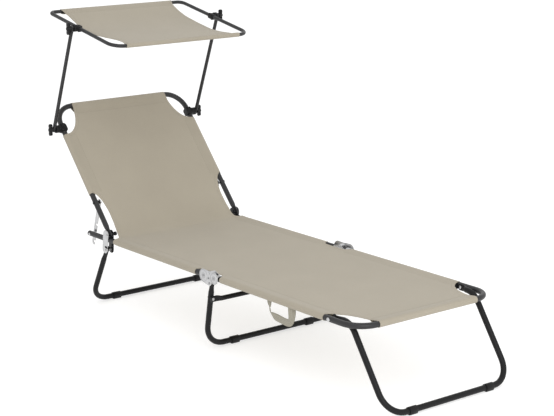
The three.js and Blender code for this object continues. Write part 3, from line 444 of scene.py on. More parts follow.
# Plates, rivets, bolts and moulded parts
def plate(name, discs, low, high, edge=0.5 * MM):
    """A flat plate round a few discs (x, z, radius in millimetres), between two distances across the lounger."""
    clear()
    for i, (x, z, radius) in enumerate(discs):
        bpy.ops.mesh.primitive_cylinder_add(
            vertices=56 if radius > 4 else 12, radius=radius * MM, depth=high - low,
            location=across(at(x, z), (low + high) / 2), rotation=(math.pi / 2, 0, 0))
        if i == 0:
            first = bpy.context.object
        else:
            first.select_set(True)
            bpy.context.view_layer.objects.active = first
            bpy.ops.object.join()
        first = bpy.context.object
    piece = named(name)
    settle()
    with editing(piece):
        bpy.ops.mesh.select_all(action="SELECT")
        bpy.ops.mesh.convex_hull()
        bpy.ops.mesh.select_all(action="SELECT")
        bpy.ops.mesh.dissolve_limited(angle_limit=math.radians(1))
    outward(piece)
    return rounded(piece, edge, 2, 50)


def turned(name, profile, sides=32, edge=0.0):
    """A turned part along Z, drawn up from ring to ring: (radius, height) in millimetres."""
    clear()
    radius, height = profile[0]
    bpy.ops.mesh.primitive_circle_add(vertices=sides, radius=radius * MM, fill_type="NGON",
                                      location=(0, 0, height * MM))
    piece = named(name)
    settle()
    here_radius, here = radius, height
    with editing(piece):
        bpy.ops.mesh.select_mode(type="FACE")
        bpy.ops.mesh.select_all(action="SELECT")
        for radius, height in profile[1:]:
            pull((0, 0, (height - here) * MM))
            swell([radius / here_radius, radius / here_radius, 1], (0, 0, height * MM))
            here_radius, here = radius, height
        bpy.ops.mesh.select_all(action="DESELECT")
        bottom = profile[0][1] * MM
        pick(piece, lambda p: abs(p.z - bottom) < 1e-7 and math.hypot(p.x, p.y) <= profile[0][0] * MM + 1e-6)
        bpy.ops.mesh.edge_face_add()
    outward(piece)
    if edge:
        rounded(piece, edge, 2, 25)
    return smooth(piece, 40)


DOME = [(6.5, 0), (6.5, 0.9), (6.0, 1.6), (4.6, 2.15), (2.6, 2.4), (0.4, 2.45)]
SMALL_DOME = [(5.2, 0), (5.2, 0.6), (4.8, 1.15), (3.6, 1.6), (2.0, 1.8), (0.4, 1.84)]


def rivet(name, point, face, out, profile, scale=1.0):
    """A head on a face at a distance across the lounger; out is 1 away from the middle of the left side."""
    head = turned(name, [(r * scale, h * scale) for r, h in profile])
    direction = Matrix.Rotation(-out * math.pi / 2, 4, "X")
    return placed(head, Matrix.Translation(across(point, face)) @ direction)


def shank(name, point, low, high, radius):
    rod = turned(name, [(radius, 0), (radius, (high - low) / MM)], sides=24)
    return placed(rod, Matrix.Translation(across(point, low)) @ Matrix.Rotation(-math.pi / 2, 4, "X"))


def through_bolt(name, point, low, high, inner, outer, bushes=()):
    """A rivet or bolt through one side: shank, round spacers and two heads."""
    pieces = [shank(name + "_shank", point, low - 0.2 * MM, high + 0.2 * MM, 3.5)]
    for start, end, radius in bushes:
        pieces.append(shank(name + "_bush", point, start, end, radius))
    pieces.append(rivet(name + "_inner", point, low, -1, inner))
    pieces.append(rivet(name + "_outer", point, high, 1, outer))
    return fused(name, pieces)


CAP_NUT = [(6.4, 0), (6.4, 1.4), (4.6, 1.8), (4.5, 5.8), (6.9, 6.3), (7.1, 7.2), (7.1, 12.4), (6.5, 13.5), (0.5, 13.8)]


def make_fasteners():
    """Bolts and rivets of the left side, by body."""
    gap, sheet, leaf = 0.3 * MM, 2 * MM, 1.8 * MM
    low_tongue, high_tongue = RAIL_Y - 2.3 * MM, RAIL_Y + 2.3 * MM
    inside = (INNER_FACE + gap, low_tongue, 5.8)
    outside = (high_tongue, OUTER_FACE - gap, 5.8)
    made = {}
    bolt = fused("backrest_hinge_bolt_left", [
        rivet("cap_nut", HINGE, INNER_FACE - sheet - gap, -1, CAP_NUT),
        shank("hinge_core", HINGE, INNER_FACE - sheet - gap, OUTER_FACE + 1 * MM, 3.5),
        shank("hinge_bush", HINGE, *inside), shank("hinge_bush", HINGE, *outside)])
    made[bolt] = ("seat_section", "backrest_bolt_left", "black_steel")
    made[fused("backrest_bolt_head_left", [
        shank("bolt_neck", HINGE, OUTER_FACE + 1.2 * MM, OUTER_FACE + sheet + gap, 3.4),
        rivet("bolt_head", HINGE, OUTER_FACE + sheet + gap, 1, [(0.7 * r, 0.8 * h) for r, h in SMALL_DOME])])] = (
        "seat_section", None, "dull_steel_and_rim_shade")
    tip = [(0.7 * r, 0.8 * h) for r, h in SMALL_DOME]
    made[through_bolt("rear_leg_pin_left", REAR_PIVOT, INNER_FACE - sheet - gap, OUTER_FACE + sheet + gap,
                      SMALL_DOME, tip, [(INNER_FACE + gap, OUTER_FACE - 4.9 * MM, 5.8)])] = (
        "seat_section", "rear_leg_rivet_left", "dull_steel_and_rim_shade")
    catch = at(-726.5, 258)
    catch.x = STAY_PIVOT.x + math.tan(math.radians(16)) * (RAIL_Z - STAY_PIVOT.z) + 1.2 * MM
    stud = fused("stay_catch_left", [
        shank("catch_stem", catch, 264.9 * MM, INNER_FACE, 4),
        shank("catch_core", catch, INNER_FACE - gap, OUTER_FACE, 3.5),
        rivet("catch_head", catch, OUTER_FACE, 1, SMALL_DOME)])
    made[stud] = ("seat_section", "catch_pin_left", "zinc_steel")
    tiny = [(0.75 * r, h) for r, h in SMALL_DOME]
    made[through_bolt("fold_pin_left", FOLD, INNER_FACE - 2 * leaf - 2 * gap, OUTER_FACE + 2 * leaf + 2 * gap,
                      tiny, tiny, [(INNER_FACE + gap, OUTER_FACE - gap, 5.8)])] = (
        "seat_section", "hinge_pin_left", "zinc_steel")
    made[through_bolt("middle_leg_pin_left", MID_PIVOT, INNER_FACE - leaf - gap, OUTER_FACE + leaf + gap,
                      tiny, tiny, [inside, outside])] = (
        "seat_section", "mid_leg_rivet_left", "dull_steel_and_rim_shade")
    made[crossbar_rivet()] = ("mid_leg", None, "zinc_steel")
    made[fused("stay_bolt_left", [
        rivet("stay_bolt_inner", STAY_PIVOT, 261.7 * MM, -1, DOME),
        shank("stay_bolt_core", STAY_PIVOT, 261.5 * MM, OUTER_FACE + gap, 3.5),
        shank("stay_spacer", STAY_PIVOT, 264.9 * MM, INNER_FACE, 6.5),
        rivet("stay_bolt_outer", STAY_PIVOT, OUTER_FACE, 1, SMALL_DOME)])] = (
        "backrest", "stay_rivet_left", "black_steel")
    inner_tongue = 262 * MM
    made[fused("foot_leg_pin_left", [
        rivet("foot_pin_inner", FOOT_BOLT, inner_tongue - gap, -1, SMALL_DOME),
        shank("foot_pin_core", FOOT_BOLT, inner_tongue - gap, OUTER_FACE + gap, 3.5),
        shank("foot_pin_bush", FOOT_BOLT, 266.3 * MM, INNER_FACE, 5.8),
        rivet("foot_pin_outer", FOOT_BOLT, OUTER_FACE, 1, DOME)])] = (
        "foot_section", "foot_leg_bolt_left", "zinc_steel")
    return made


def raised_ring(name, x, z, radius, face, height=0.7, band=2.2):
    """A pressed rim on a plate's outer face; it is dressed in the darker grey steel, as painted shade of the pressed
    relief.
    """
    low, high = radius - band, radius
    ring = turned(name, [(high, -0.2), (high - 0.2, height * 0.7), (high - band / 2, height), (low + 0.1, height * 0.7),
                         (low, -0.1)], sides=56)
    return placed(ring, Matrix.Translation(across(at(x, z), face)) @ Matrix.Rotation(-math.pi / 2, 4, "X"))


def rear_plates():
    outer = plate("rear_outer_plate_left", [(-616, 277.5, 16.5), (-623, 224.5, 16)], OUTER_FACE, OUTER_FACE + 2 * MM)
    inner = plate("rear_inner_plate_left", [(-614, 278, 15), (-616, 223, 15)], INNER_FACE - 2 * MM, INNER_FACE)
    return {
        smooth(outer, 30): ("seat_section", "rear_plate_outer_left", "zinc_steel"),
        # The inner plate is black steel: its dark look is partly painted shade between the two plates.
        smooth(inner, 30): ("seat_section", "rear_plate_inner_left", "black_steel"),
    }


HANDLE_LINE = [(300.5, 250), (301, 236), (303, 222), (306, 212), (312, 205.5), (322, 203), (340, 201), (360, 199),
               (378, 197), (392, 196.5), (402, 199), (408.5, 207), (411.5, 220), (412.5, 236), (411, 250)]
HANDLE_TWIST = [(0, -5), (14, -15), (30, -42), (44, -38), (60, -12), (75, 0), (130, 0), (155, -12), (175, -35), (200, -50),
                (230, -45)]


def make_handle():
    """A ribbon of webbing: down from the sleeve, twisted on edge, along and up again."""
    line = []
    for a, b in zip(HANDLE_LINE, HANDLE_LINE[1:]):
        line += [(a[0] + (b[0] - a[0]) * i / 4, a[1] + (b[1] - a[1]) * i / 4) for i in range(4)]
    line.append(HANDLE_LINE[-1])
    for _ in range(3):
        line = [line[0], *[tuple((p[k] + q[k] * 2 + r[k]) / 4 for k in (0, 1)) for p, q, r in zip(line, line[1:], line[2:])],
                line[-1]]
    rows, distance = [], 0.0
    for i, (x, z) in enumerate(line):
        before, after = line[max(0, i - 1)], line[min(len(line) - 1, i + 1)]
        run = Vector((after[0] - before[0], 0, after[1] - before[1])).normalized()
        if i:
            distance += math.hypot(x - line[i - 1][0], z - line[i - 1][1])
        level = Vector((-run.z, 0, run.x))
        turn = math.radians(between(HANDLE_TWIST, distance))
        width = level * math.cos(turn) + Vector((0, 1, 0)) * math.sin(turn)
        face = run.cross(width)
        row = []
        for k in range(-6, 7):
            place = at(x, z, -280) + width * (k / 6 * 12 * MM) + face * (0.5 * MM * (1 - (k / 6) ** 2))
            row.append((place, k / 6 * 12 * MM, distance * MM, 0.0))
        rows.append(row)
    return woven("carry_handle_webbing", [rows], 1.6 * MM), distance * MM


def strap_over_rail(name, x_from, x_to, inner_radius, sheet, y, z):
    """A half round strap over the rail that joins the two cheeks of the foot leaf."""
    clear()
    bpy.ops.mesh.primitive_plane_add(size=1, location=(0, 0, 0))
    strap = named(name)
    strap.scale = ((x_to - x_from) * MM, sheet, 1)
    strap.location = ((x_from + x_to) / 2 * MM + SHIFT, y + inner_radius + sheet / 2, z)
    settle()
    with editing(strap):
        bpy.ops.mesh.select_all(action="SELECT")
        bpy.ops.mesh.spin(steps=20, dupli=False, angle=-math.pi, center=(0, y, z), axis=(1, 0, 0))
        bpy.ops.mesh.select_all(action="DESELECT")
        pick(strap, lambda p: abs(p.z - z) < 1e-6 and p.y > y)
        bpy.ops.mesh.edge_face_add()
        bpy.ops.mesh.select_all(action="SELECT")
        swell((1, 1, 0.84), (0, y, z))
    outward(strap)
    return rounded(strap, 0.3 * MM, 2, 50)


def fold_leaves():
    """The two leaves of the middle hinge: cheeks on both sides of the rail, a web or strap, and rivets."""
    leaf, gap = 1.8 * MM, 0.3 * MM
    out_face, in_face = OUTER_FACE + leaf, INNER_FACE - leaf
    seat_pieces = [
        plate("seat_cheek_out", [(-31, 257.5, 22.5), (0, 271, 7.5), (-17, 241, 10), (1, 239, 10)], OUTER_FACE, out_face),
        plate("seat_cheek_in", [(-22, 257, 13), (0, 270, 6), (1, 239, 10)], in_face, INNER_FACE),
    ]
    small = [(5 * r / 6, h) for r, h in SMALL_DOME]
    seat_rivets = [
        raised_ring("seat_rim", -31, 257.5, 20.5, out_face, 0.5, 1.3),
        raised_ring("seat_boss", -31, 258, 9, out_face, 0.5, 1.2),
        rivet("seat_rivet_out", at(-31, 258), out_face, 1, small),
        rivet("seat_rivet_in", at(-22, 257), in_face, -1, small),
        rivet("stop_stud", at(-3.5, 253.5), out_face, 1, [(3, 0), (3, 1.9), (2.6, 2.3), (0.4, 2.4)]),
    ]
    clear()
    bpy.ops.mesh.primitive_cube_add(size=1, location=across(at(-34, 247.8), RAIL_Y))
    web = named("seat_web")
    web.scale = (32 * MM, out_face - in_face - 0.4 * MM, leaf)
    settle()
    seat_pieces.append(rounded(web, 0.4 * MM, 2, 50))
    seat_leaf = fused("seat_hinge_leaf_left", seat_pieces)
    cheek_out, cheek_in = out_face + gap, in_face - gap
    radius = cheek_out - RAIL_Y
    foot_pieces = [
        plate("foot_cheek_out", [(28.5, 259.5, 20.5), (0, 271, 7.5)], cheek_out, cheek_out + leaf),
        plate("foot_cheek_in", [(24, 253.5, 11.5), (0, 270, 6)], cheek_in - leaf, cheek_in),
        strap_over_rail("fold_strap", 30, 46, radius, leaf, RAIL_Y, RAIL_Z),
    ]
    foot_rivets = [
        raised_ring("foot_rim", 28.5, 259.5, 18.5, cheek_out + leaf, 0.5, 1.3),
        raised_ring("foot_boss", 28, 259.5, 8, cheek_out + leaf, 0.5, 1.2),
        rivet("foot_rivet_out", at(28, 259.5), cheek_out + leaf, 1, small),
        rivet("foot_rivet_in", at(24, 254), cheek_in - leaf, -1, small),
    ]
    foot_leaf = fused("foot_hinge_leaf_left", foot_pieces)
    return {
        smooth(seat_leaf, 30): ("seat_section", "hinge_leaf_seat_left", "zinc_steel"),
        smooth(foot_leaf, 30): ("foot_section", "hinge_leaf_foot_left", "zinc_steel"),
        # The pressed rims go with the rivets into the darker grey steel: painted shade along the hinge leaves' relief.
        fused("seat_leaf_rivets_left", seat_rivets): ("seat_section", None, "dull_steel_and_rim_shade"),
        fused("foot_leaf_rivets_left", foot_rivets): ("foot_section", None, "dull_steel_and_rim_shade"),
    }


def tube_clamp(name, axis, direction, tube, tube_y, disc, height, length):
    """A moulded clip: a collar and a rounded block on the tube, a rib above, a lip below, and a grooved round face."""
    normal = Vector((-direction.z, 0, direction.x))

    def spot(a, b, radius):
        place = axis + (direction * a + normal * b) * MM
        return (place.x - SHIFT) / MM, place.z / MM, radius

    low, high = tube_y - height / 2 * MM, tube_y + height / 2 * MM
    corner = 5.5
    a, b = length / 2 - corner, height / 2 - corner
    block = plate("clamp_block", [spot(i * a, j * b, corner) for i in (1, -1) for j in (1, -1)], low, high, 0.1 * MM)
    rib = plate("clamp_rib", [spot(-a, height / 2 - 2, 2.5), spot(0.2 * a, height / 2 - 1, 2.5)],
                tube_y - 6 * MM, tube_y + 6 * MM, 0.1 * MM)
    lip = plate("clamp_lip", [spot(0.4 * a, -height / 2 + 2, 3), spot(a + 4, -height / 2 - 1, 2)],
                tube_y - 7 * MM, tube_y + 7 * MM, 0.1 * MM)
    parts = [rounded(block, 2.2 * MM, 3, 50), rounded(rib, 1.2 * MM, 2, 50), rounded(lip, 1.2 * MM, 2, 50)]
    ring, reach = tube / MM + 2.2, length + 5
    collar = turned("clamp_collar", [(ring - 1, 0), (ring, 0.8), (ring, reach - 0.8), (ring - 1, reach)], sides=40)
    start = across(axis - direction * reach / 2 * MM, tube_y)
    parts.append(placed(collar, Matrix.Translation(start) @ direction.to_track_quat("Z", "Y").to_matrix().to_4x4()))
    start = high - 0.5 * MM
    tall = (ARM_Y - 4.3 * MM - start) / MM
    face = turned("clamp_face", [
        (disc - 1, 0), (disc, 1), (disc, 0.42 * tall), (disc - 1.4, 0.5 * tall), (disc, 0.58 * tall),
        (disc, tall - 1.2), (disc - 1.2, tall)], sides=56)
    parts.append(placed(face, Matrix.Translation(across(axis, start)) @ Matrix.Rotation(-math.pi / 2, 4, "X")))
    return smooth(fused(name, parts), 40)


def wing_knob(name, axis):
    """A screw with a round hub and two rounded wings, set above and below."""
    x, z = (axis.x - SHIFT) / MM, axis.z / MM
    face = ARM_Y + 4.3 * MM
    hub = turned("knob_hub", [(9, 0), (9, 3.2), (7.6, 5.6), (7.2, 14.6), (6.2, 17), (3.2, 17.8), (0.5, 18)])
    parts = [placed(hub, Matrix.Translation(across(axis, face)) @ Matrix.Rotation(-math.pi / 2, 4, "X"))]
    for side in (1, -1):
        wing = plate("knob_wing", [(x, z, 5), (x, z + side * 14.5, 7)], face + 6 * MM, face + 15 * MM, 0.1 * MM)
        parts.append(rounded(wing, 2.4 * MM, 3, 50))
    parts.append(shank("knob_stem", axis, ARM_Y - 4.2 * MM, face + 0.4 * MM, 3))
    return smooth(fused(name, parts), 40)


STAY_NOTCHES = (91, 125, 159)
STAY_MOUTH = [(-7.2, 6.5), (-6.0, 6.1), (-5.3, 5), (-4.6, 1.8)]
STAY_LIP = [(4.3, 2.4), (2.8, 4.7), (2.9, 6.0), (4.4, 6.5)]


def recline_stay():
    """A flat strip on the inner side of the tubes, with a hooked notch wherever it may catch the stud."""
    outline = [(9.5 * math.cos(t), -3 + 9.5 * math.sin(t)) for t in
               [math.radians(270 - 180 * i / 16) for i in range(17)]]
    for place in STAY_NOTCHES:
        outline += [(place + a, b) for a, b in STAY_MOUTH]
        outline += [(place + 4.5 * math.cos(t), 4.5 * math.sin(t)) for t in
                    [math.radians(165 + 205 * i / 12) for i in range(13)]]
        outline += [(place + a, b) for a, b in STAY_LIP]
    end = STAY_NOTCHES[-1]
    outline += [(end + 8, 6.2), (end + 11.5, 4.2), (end + 13.6, 0.6), (end + 13.4, -4), (end + 10.5, -8.4),
                (end + 5.5, -11.4), (end, -12.5)]
    down = Vector((-math.sin(math.radians(16)), 0, -math.cos(math.radians(16))))
    side = Vector((-down.z, 0, down.x))
    corners = [across(STAY_PIVOT + (down * a + side * b) * MM, 263.35 * MM) for a, b in outline]
    mesh = bpy.data.meshes.new("recline_stay_strip_left")
    mesh.from_pydata(corners, [], [list(range(len(corners)))])
    strip = bpy.data.objects.new("recline_stay_strip_left", mesh)
    bpy.context.scene.collection.objects.link(strip)
    modify(strip, "SOLIDIFY", thickness=2.5 * MM, offset=0.0)
    return smooth(outward(rounded(strip, 0.45 * MM, 2, 50)), 30)


def refined(name, node, edge=0.4 * MM, angle=30):
    """A merged copy of a solid with its edges rounded."""
    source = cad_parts[node]
    copy = bpy.data.objects.new(name, source.data.copy())
    copy.data.name = name
    bpy.context.scene.collection.objects.link(copy)
    copy.data.materials.clear()
    outward(copy)
    with editing(copy):
        bpy.ops.mesh.select_all(action="SELECT")
        bpy.ops.mesh.dissolve_limited(angle_limit=math.radians(1.5))
    if edge:
        rounded(copy, edge, 2, angle)
    return smooth(copy, 32)


def shorten_pad(piece, node):
    """Draws a floor pad in towards its outer end."""
    low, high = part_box(node)
    outer = low[1] if low[1] + high[1] < 0 else high[1]
    with editing(piece):
        bpy.ops.mesh.select_all(action="SELECT")
        swell((1, 0.82, 1), (0, outer, 0))


# Materials
class Value:
    """A number socket of a material. Arithmetic on it adds Math nodes."""

    def __init__(self, tree, socket):
        self.tree, self.socket = tree, socket

    def math(self, operation, *others):
        node = self.tree.nodes.new("ShaderNodeMath")
        node.operation = operation
        for i, term in enumerate((self, *others)):
            if isinstance(term, Value):
                self.tree.links.new(term.socket, node.inputs[i])
            else:
                node.inputs[i].default_value = float(term)
        return Value(self.tree, node.outputs[0])

    def __add__(self, other):
        return self.math("ADD", other)

    __radd__ = __add__

    def __mul__(self, other):
        return self.math("MULTIPLY", other)

    __rmul__ = __mul__

    def __sub__(self, other):
        return self.math("SUBTRACT", other)

    def __rsub__(self, other):
        return self.math("MULTIPLY_ADD", -1.0, other)

    def __truediv__(self, other):
        return self.math("DIVIDE", other)

    def sine(self):
        return self.math("SINE")

    def size(self):
        return self.math("ABSOLUTE")

    def above(self, edge):
        return self.math("GREATER_THAN", edge)

    def power(self, exponent):
        return self.math("POWER", exponent)

    def kept(self):
        value = self.math("ADD", 0.0)
        value.socket.node.use_clamp = True
        return value


class Finish:
    """One material: its nodes are added by type, with settings first and then the sockets' values or links."""

    def __init__(self, name, **constants):
        self.material = bpy.data.materials.new(name)
        self.material.use_nodes = True
        self.tree = self.material.node_tree
        self.shader = self.tree.nodes["Principled BSDF"]
        for key, value in constants.items():
            self.shader.inputs[key.replace("_", " ")].default_value = value

    def node(self, kind, settings=(), **sockets):
        node = self.tree.nodes.new("ShaderNode" + kind)
        for key, value in dict(settings).items():
            if key == "stops":
                ramp = node.color_ramp
                for i, (place, shade) in enumerate(value):
                    stop = ramp.elements[i] if i < 2 else ramp.elements.new(place)
                    stop.position = place
                    stop.color = (*shade, 1) if hasattr(shade, "__len__") else (shade, shade, shade, 1)
            else:
                setattr(node, key, value)
        for key, value in sockets.items():
            self.join(value, node.inputs[int(key[1:]) if key[0] == "i" and key[1:].isdigit() else key.replace("_", " ")])
        return node

    def join(self, value, socket):
        if isinstance(value, Value):
            self.tree.links.new(value.socket, socket)
        elif isinstance(value, bpy.types.NodeSocket):
            self.tree.links.new(value, socket)
        elif hasattr(value, "__len__") and len(value) == 3 and socket.type == "RGBA":
            socket.default_value = (*value, 1)
        else:
            socket.default_value = value

    def value(self, node, output=0):
        return Value(self.tree, node.outputs[output])

    def places(self):
        return self.node("TexCoord").outputs["Object"]

    def noise(self, scale, detail=3.0, roughness=0.55, vector=None, output=0):
        node = self.node("TexNoise", Scale=scale, Detail=detail, Roughness=roughness,
                         Vector=vector or self.places())
        return self.value(node, output)

    def mixed(self, factor, low, high):
        node = self.node("Mix", {"data_type": "RGBA"}, i0=factor, i6=low, i7=high)
        return node.outputs[2]

    def bumped(self, height, distance, strength=1.0, under=None):
        settings = {"Strength": strength, "Distance": distance, "Height": height}
        if under is not None:
            settings["Normal"] = under
        return self.node("Bump", (), **settings).outputs[0]

    def feed(self, **sockets):
        for key, value in sockets.items():
            self.join(value, self.shader.inputs[key.replace("_", " ")])
        return self.material


def powder_coat(name, low, high, gloss):
    """Charcoal powder coat, a little orange peel, rubbed along its length."""
    paint = Finish(name, Specular_IOR_Level=gloss)
    cloudy = paint.noise(26, 4)
    peel = paint.noise(900, 2)
    rubbed = ((paint.noise(140, 5, 0.7) - 0.66) * 9).kept()
    colour = paint.mixed(cloudy, low, high)
    colour = paint.mixed(rubbed * 0.5, colour, (0.07, 0.07, 0.073))
    return paint.feed(Base_Color=colour, Roughness=cloudy * 0.16 + 0.36 + rubbed * 0.1,
                      Normal=paint.bumped(peel, 0.00012, 0.5))


def zinc_steel():
    """Bright zinc plating over pressed steel, with faint crystals and rolling marks."""
    zinc = Finish("zinc_steel", Specular_IOR_Level=0.5)
    cell = zinc.node("TexVoronoi", {"feature": "F1"}, Scale=190.0, Vector=zinc.places())
    crystal = zinc.value(cell, 0)
    cloudy = zinc.noise(60, 4, 0.6)
    dull = ((zinc.noise(300, 4, 0.65) - 0.6) * 6).kept()
    colour = zinc.mixed(cloudy, (0.44, 0.443, 0.45), (0.66, 0.66, 0.665))
    colour = zinc.mixed(dull * 0.6, colour, (0.34, 0.34, 0.345))
    return zinc.feed(Base_Color=colour, Metallic=1.0, Roughness=crystal * 0.12 + cloudy * 0.14 + 0.24,
                     Normal=zinc.bumped(zinc.noise(420, 3), 0.0001, 0.35))


def dull_steel_and_rim_shade():
    """Rivet heads and the pressed rims of the hinge leaves, in a darker grey steel; on the rims the darker grey is
    painted shade of their relief.
    """
    head = Finish("dull_steel_and_rim_shade", Specular_IOR_Level=0.4)
    cloudy = head.noise(160, 4, 0.6)
    colour = head.mixed(cloudy, (0.30, 0.30, 0.305), (0.44, 0.44, 0.445))
    return head.feed(Base_Color=colour, Metallic=1.0, Roughness=cloudy * 0.2 + 0.38,
                     Normal=head.bumped(head.noise(500, 2), 0.0001, 0.4))


def black_steel():
    steel = Finish("black_steel", Specular_IOR_Level=0.3)
    cloudy = steel.noise(70, 4)
    worn = ((steel.noise(260, 5, 0.7) - 0.68) * 8).kept()
    colour = steel.mixed(cloudy, (0.004, 0.004, 0.0045), (0.010, 0.010, 0.011))
    colour = steel.mixed(worn * 0.6, colour, (0.12, 0.12, 0.125))
    return steel.feed(Base_Color=colour, Metallic=worn * 0.5, Roughness=cloudy * 0.15 + 0.3,
                      Normal=steel.bumped(steel.noise(700, 2), 0.00008, 0.4))


def black_plastic():
    """Moulded black plastic, faintly grained."""
    plastic = Finish("black_plastic", Specular_IOR_Level=0.25)
    grain = plastic.noise(1500, 3)
    cloudy = plastic.noise(45, 3)
    colour = plastic.mixed(cloudy, (0.004, 0.004, 0.0045), (0.009, 0.009, 0.010))
    return plastic.feed(Base_Color=colour, Roughness=cloudy * 0.15 + 0.42,
                        Normal=plastic.bumped(grain, 0.0001, 0.6))


def lounger_cloth():
    """Plain woven cloth: warp and weft in the sheet's own metres, darker where it is doubled for a sleeve or hem, and
    darkest round the underside of the side sleeves; that darkening is painted shade.
    """
    cloth = Finish("lounger_cloth", Specular_IOR_Level=0.25, Sheen_Weight=0.15, Sheen_Roughness=0.5)
    sheet_map = cloth.node("UVMap", {"uv_map": "cloth"}).outputs[0]
    split = cloth.node("SeparateXYZ", (), Vector=sheet_map)
    across_sheet, along_sheet = cloth.value(split, 0), cloth.value(split, 1)
    pitch = 0.0013
    warp = (across_sheet * (2 * math.pi / pitch)).sine()
    weft = (along_sheet * (2 * math.pi / pitch)).sine()
    weave = (warp * weft) * 0.5 + 0.5
    slub = cloth.noise(520, 2, 0.6, cloth.node(
        "Mapping", {"vector_type": "POINT"}, Vector=sheet_map, Scale=(1, 0.06, 1)).outputs[0])
    nap = cloth.noise(520, 2, 0.6, cloth.node(
        "Mapping", {"vector_type": "POINT"}, Vector=sheet_map, Scale=(0.06, 1, 1)).outputs[0])
    broad = cloth.noise(7, 3, 0.5)
    doubled = cloth.value(cloth.node("Attribute", {"attribute_name": "doubled"}), 2)
    base = cloth.mixed(broad, (0.385, 0.345, 0.275), (0.43, 0.388, 0.31))
    base = cloth.mixed((slub + nap) * 0.5, cloth.mixed(0.16, base, (0.20, 0.18, 0.14)), base)
    base = cloth.mixed(weave * 0.16, base, (0.26, 0.23, 0.18))
    # Painted shade: a darker tone where the cloth lies doubled, and more round the underside of the side sleeves.
    base = cloth.mixed(doubled * 0.06, base, (0.24, 0.215, 0.17))
    height = weave * 0.7 + slub * 0.5 + nap * 0.5
    return cloth.feed(Base_Color=base, Roughness=0.93 - weave * 0.08, Normal=cloth.bumped(height, 0.00022, 0.6))


def thread():
    """Sewing thread a shade darker than the cloth."""
    yarn = Finish("sewing_thread", Specular_IOR_Level=0.3)
    twist = yarn.noise(2600, 2)
    colour = yarn.mixed(twist, (0.20, 0.18, 0.14), (0.30, 0.27, 0.21))
    return yarn.feed(Base_Color=colour, Roughness=twist * 0.1 + 0.7)


def strap_webbing():
    """Ribbed narrow webbing for the carry handle."""
    web = Finish("strap_webbing", Specular_IOR_Level=0.3, Sheen_Weight=0.1)
    split = web.node("SeparateXYZ", (), Vector=web.node("UVMap", {"uv_map": "cloth"}).outputs[0])
    rib = (web.value(split, 1) * (2 * math.pi / 0.0016)).sine() * 0.5 + 0.5
    row = (web.value(split, 0) * (2 * math.pi / 0.0050)).sine() * 0.5 + 0.5
    edge = web.value(split, 0).size().above(0.0105)
    base = web.mixed(rib * 0.5 + row * 0.5, (0.21, 0.197, 0.155), (0.40, 0.375, 0.31))
    base = web.mixed(edge * 0.4, base, (0.17, 0.16, 0.125))
    return web.feed(Base_Color=base, Roughness=0.85 + rib * 0.08, Normal=web.bumped(rib * 0.3 + row * 0.7, 0.0008, 0.7))


# Cloth
def eased(t):
    t = min(1.0, max(0.0, t))
    return t * t * (3 - 2 * t)


def between(stops, x):
    """A smooth line through (place, value) stops, without overshoot."""
    if x <= stops[0][0]:
        return stops[0][1]
    if x >= stops[-1][0]:
        return stops[-1][1]
    slopes = [(b[1] - a[1]) / (b[0] - a[0]) for a, b in zip(stops, stops[1:])]

    def tangent(i):
        if i == 0:
            return slopes[0]
        if i == len(slopes):
            return slopes[-1]
        low, high = slopes[i - 1], slopes[i]
        return 0.0 if low * high <= 0 else 2 * low * high / (low + high)

    for i, (a, b) in enumerate(zip(stops, stops[1:])):
        if x <= b[0]:
            run = b[0] - a[0]
            t = (x - a[0]) / run
            return (a[1] * (1 + 2 * t) * (1 - t) ** 2 + b[1] * t * t * (3 - 2 * t)
                    + run * (tangent(i) * t * (1 - t) ** 2 + tangent(i + 1) * t * t * (t - 1)))


class Spread:
    """A sheet stretched over the frame: a line down its middle, a width at each place, and its rise over the tubes.
    Places are (distance along the line, distance across), in metres."""

    def __init__(self, spine, width, ends, tube, crown, seam, belly, side_y=None):
        self.spine, self.width, self.ends = spine, width, ends
        self.tube, self.crown, self.seam, self.belly, self.side_y = tube, crown, seam, belly, side_y

    def rise(self, s, y):
        low = self.belly
        middle = low + (self.seam_rise() - low) * min(1.0, (y / (242 * MM))) ** 2 if self.side_y else low
        side = 0.0
        if self.side_y:
            side = eased((y - (self.side_y - self.seam)) / self.seam)
        reach = 0.0
        for end in self.ends:
            away = abs(s - end)
            reach = max(reach, eased(1 - away / self.seam) if away < self.seam else 0.0)
        grip = 1 - (1 - side) * (1 - reach)
        return middle + (self.crown - middle) * grip

    def seam_rise(self):
        return self.belly + (self.crown - self.belly) * 0.35

    def point(self, s, y, extra=0.0):
        place, normal = self.spine(s)
        point = place + normal * (self.rise(s, abs(y)) + extra)
        point.y = y
        return point

    def frame(self, s, y):
        """Directions along and out of the sheet at a place."""
        step = 0.5 * MM
        forward = (self.point(s + step, y) - self.point(s - step, y)).normalized()
        sideways = (self.point(s, y + step) - self.point(s, y - step)).normalized()
        return forward, sideways


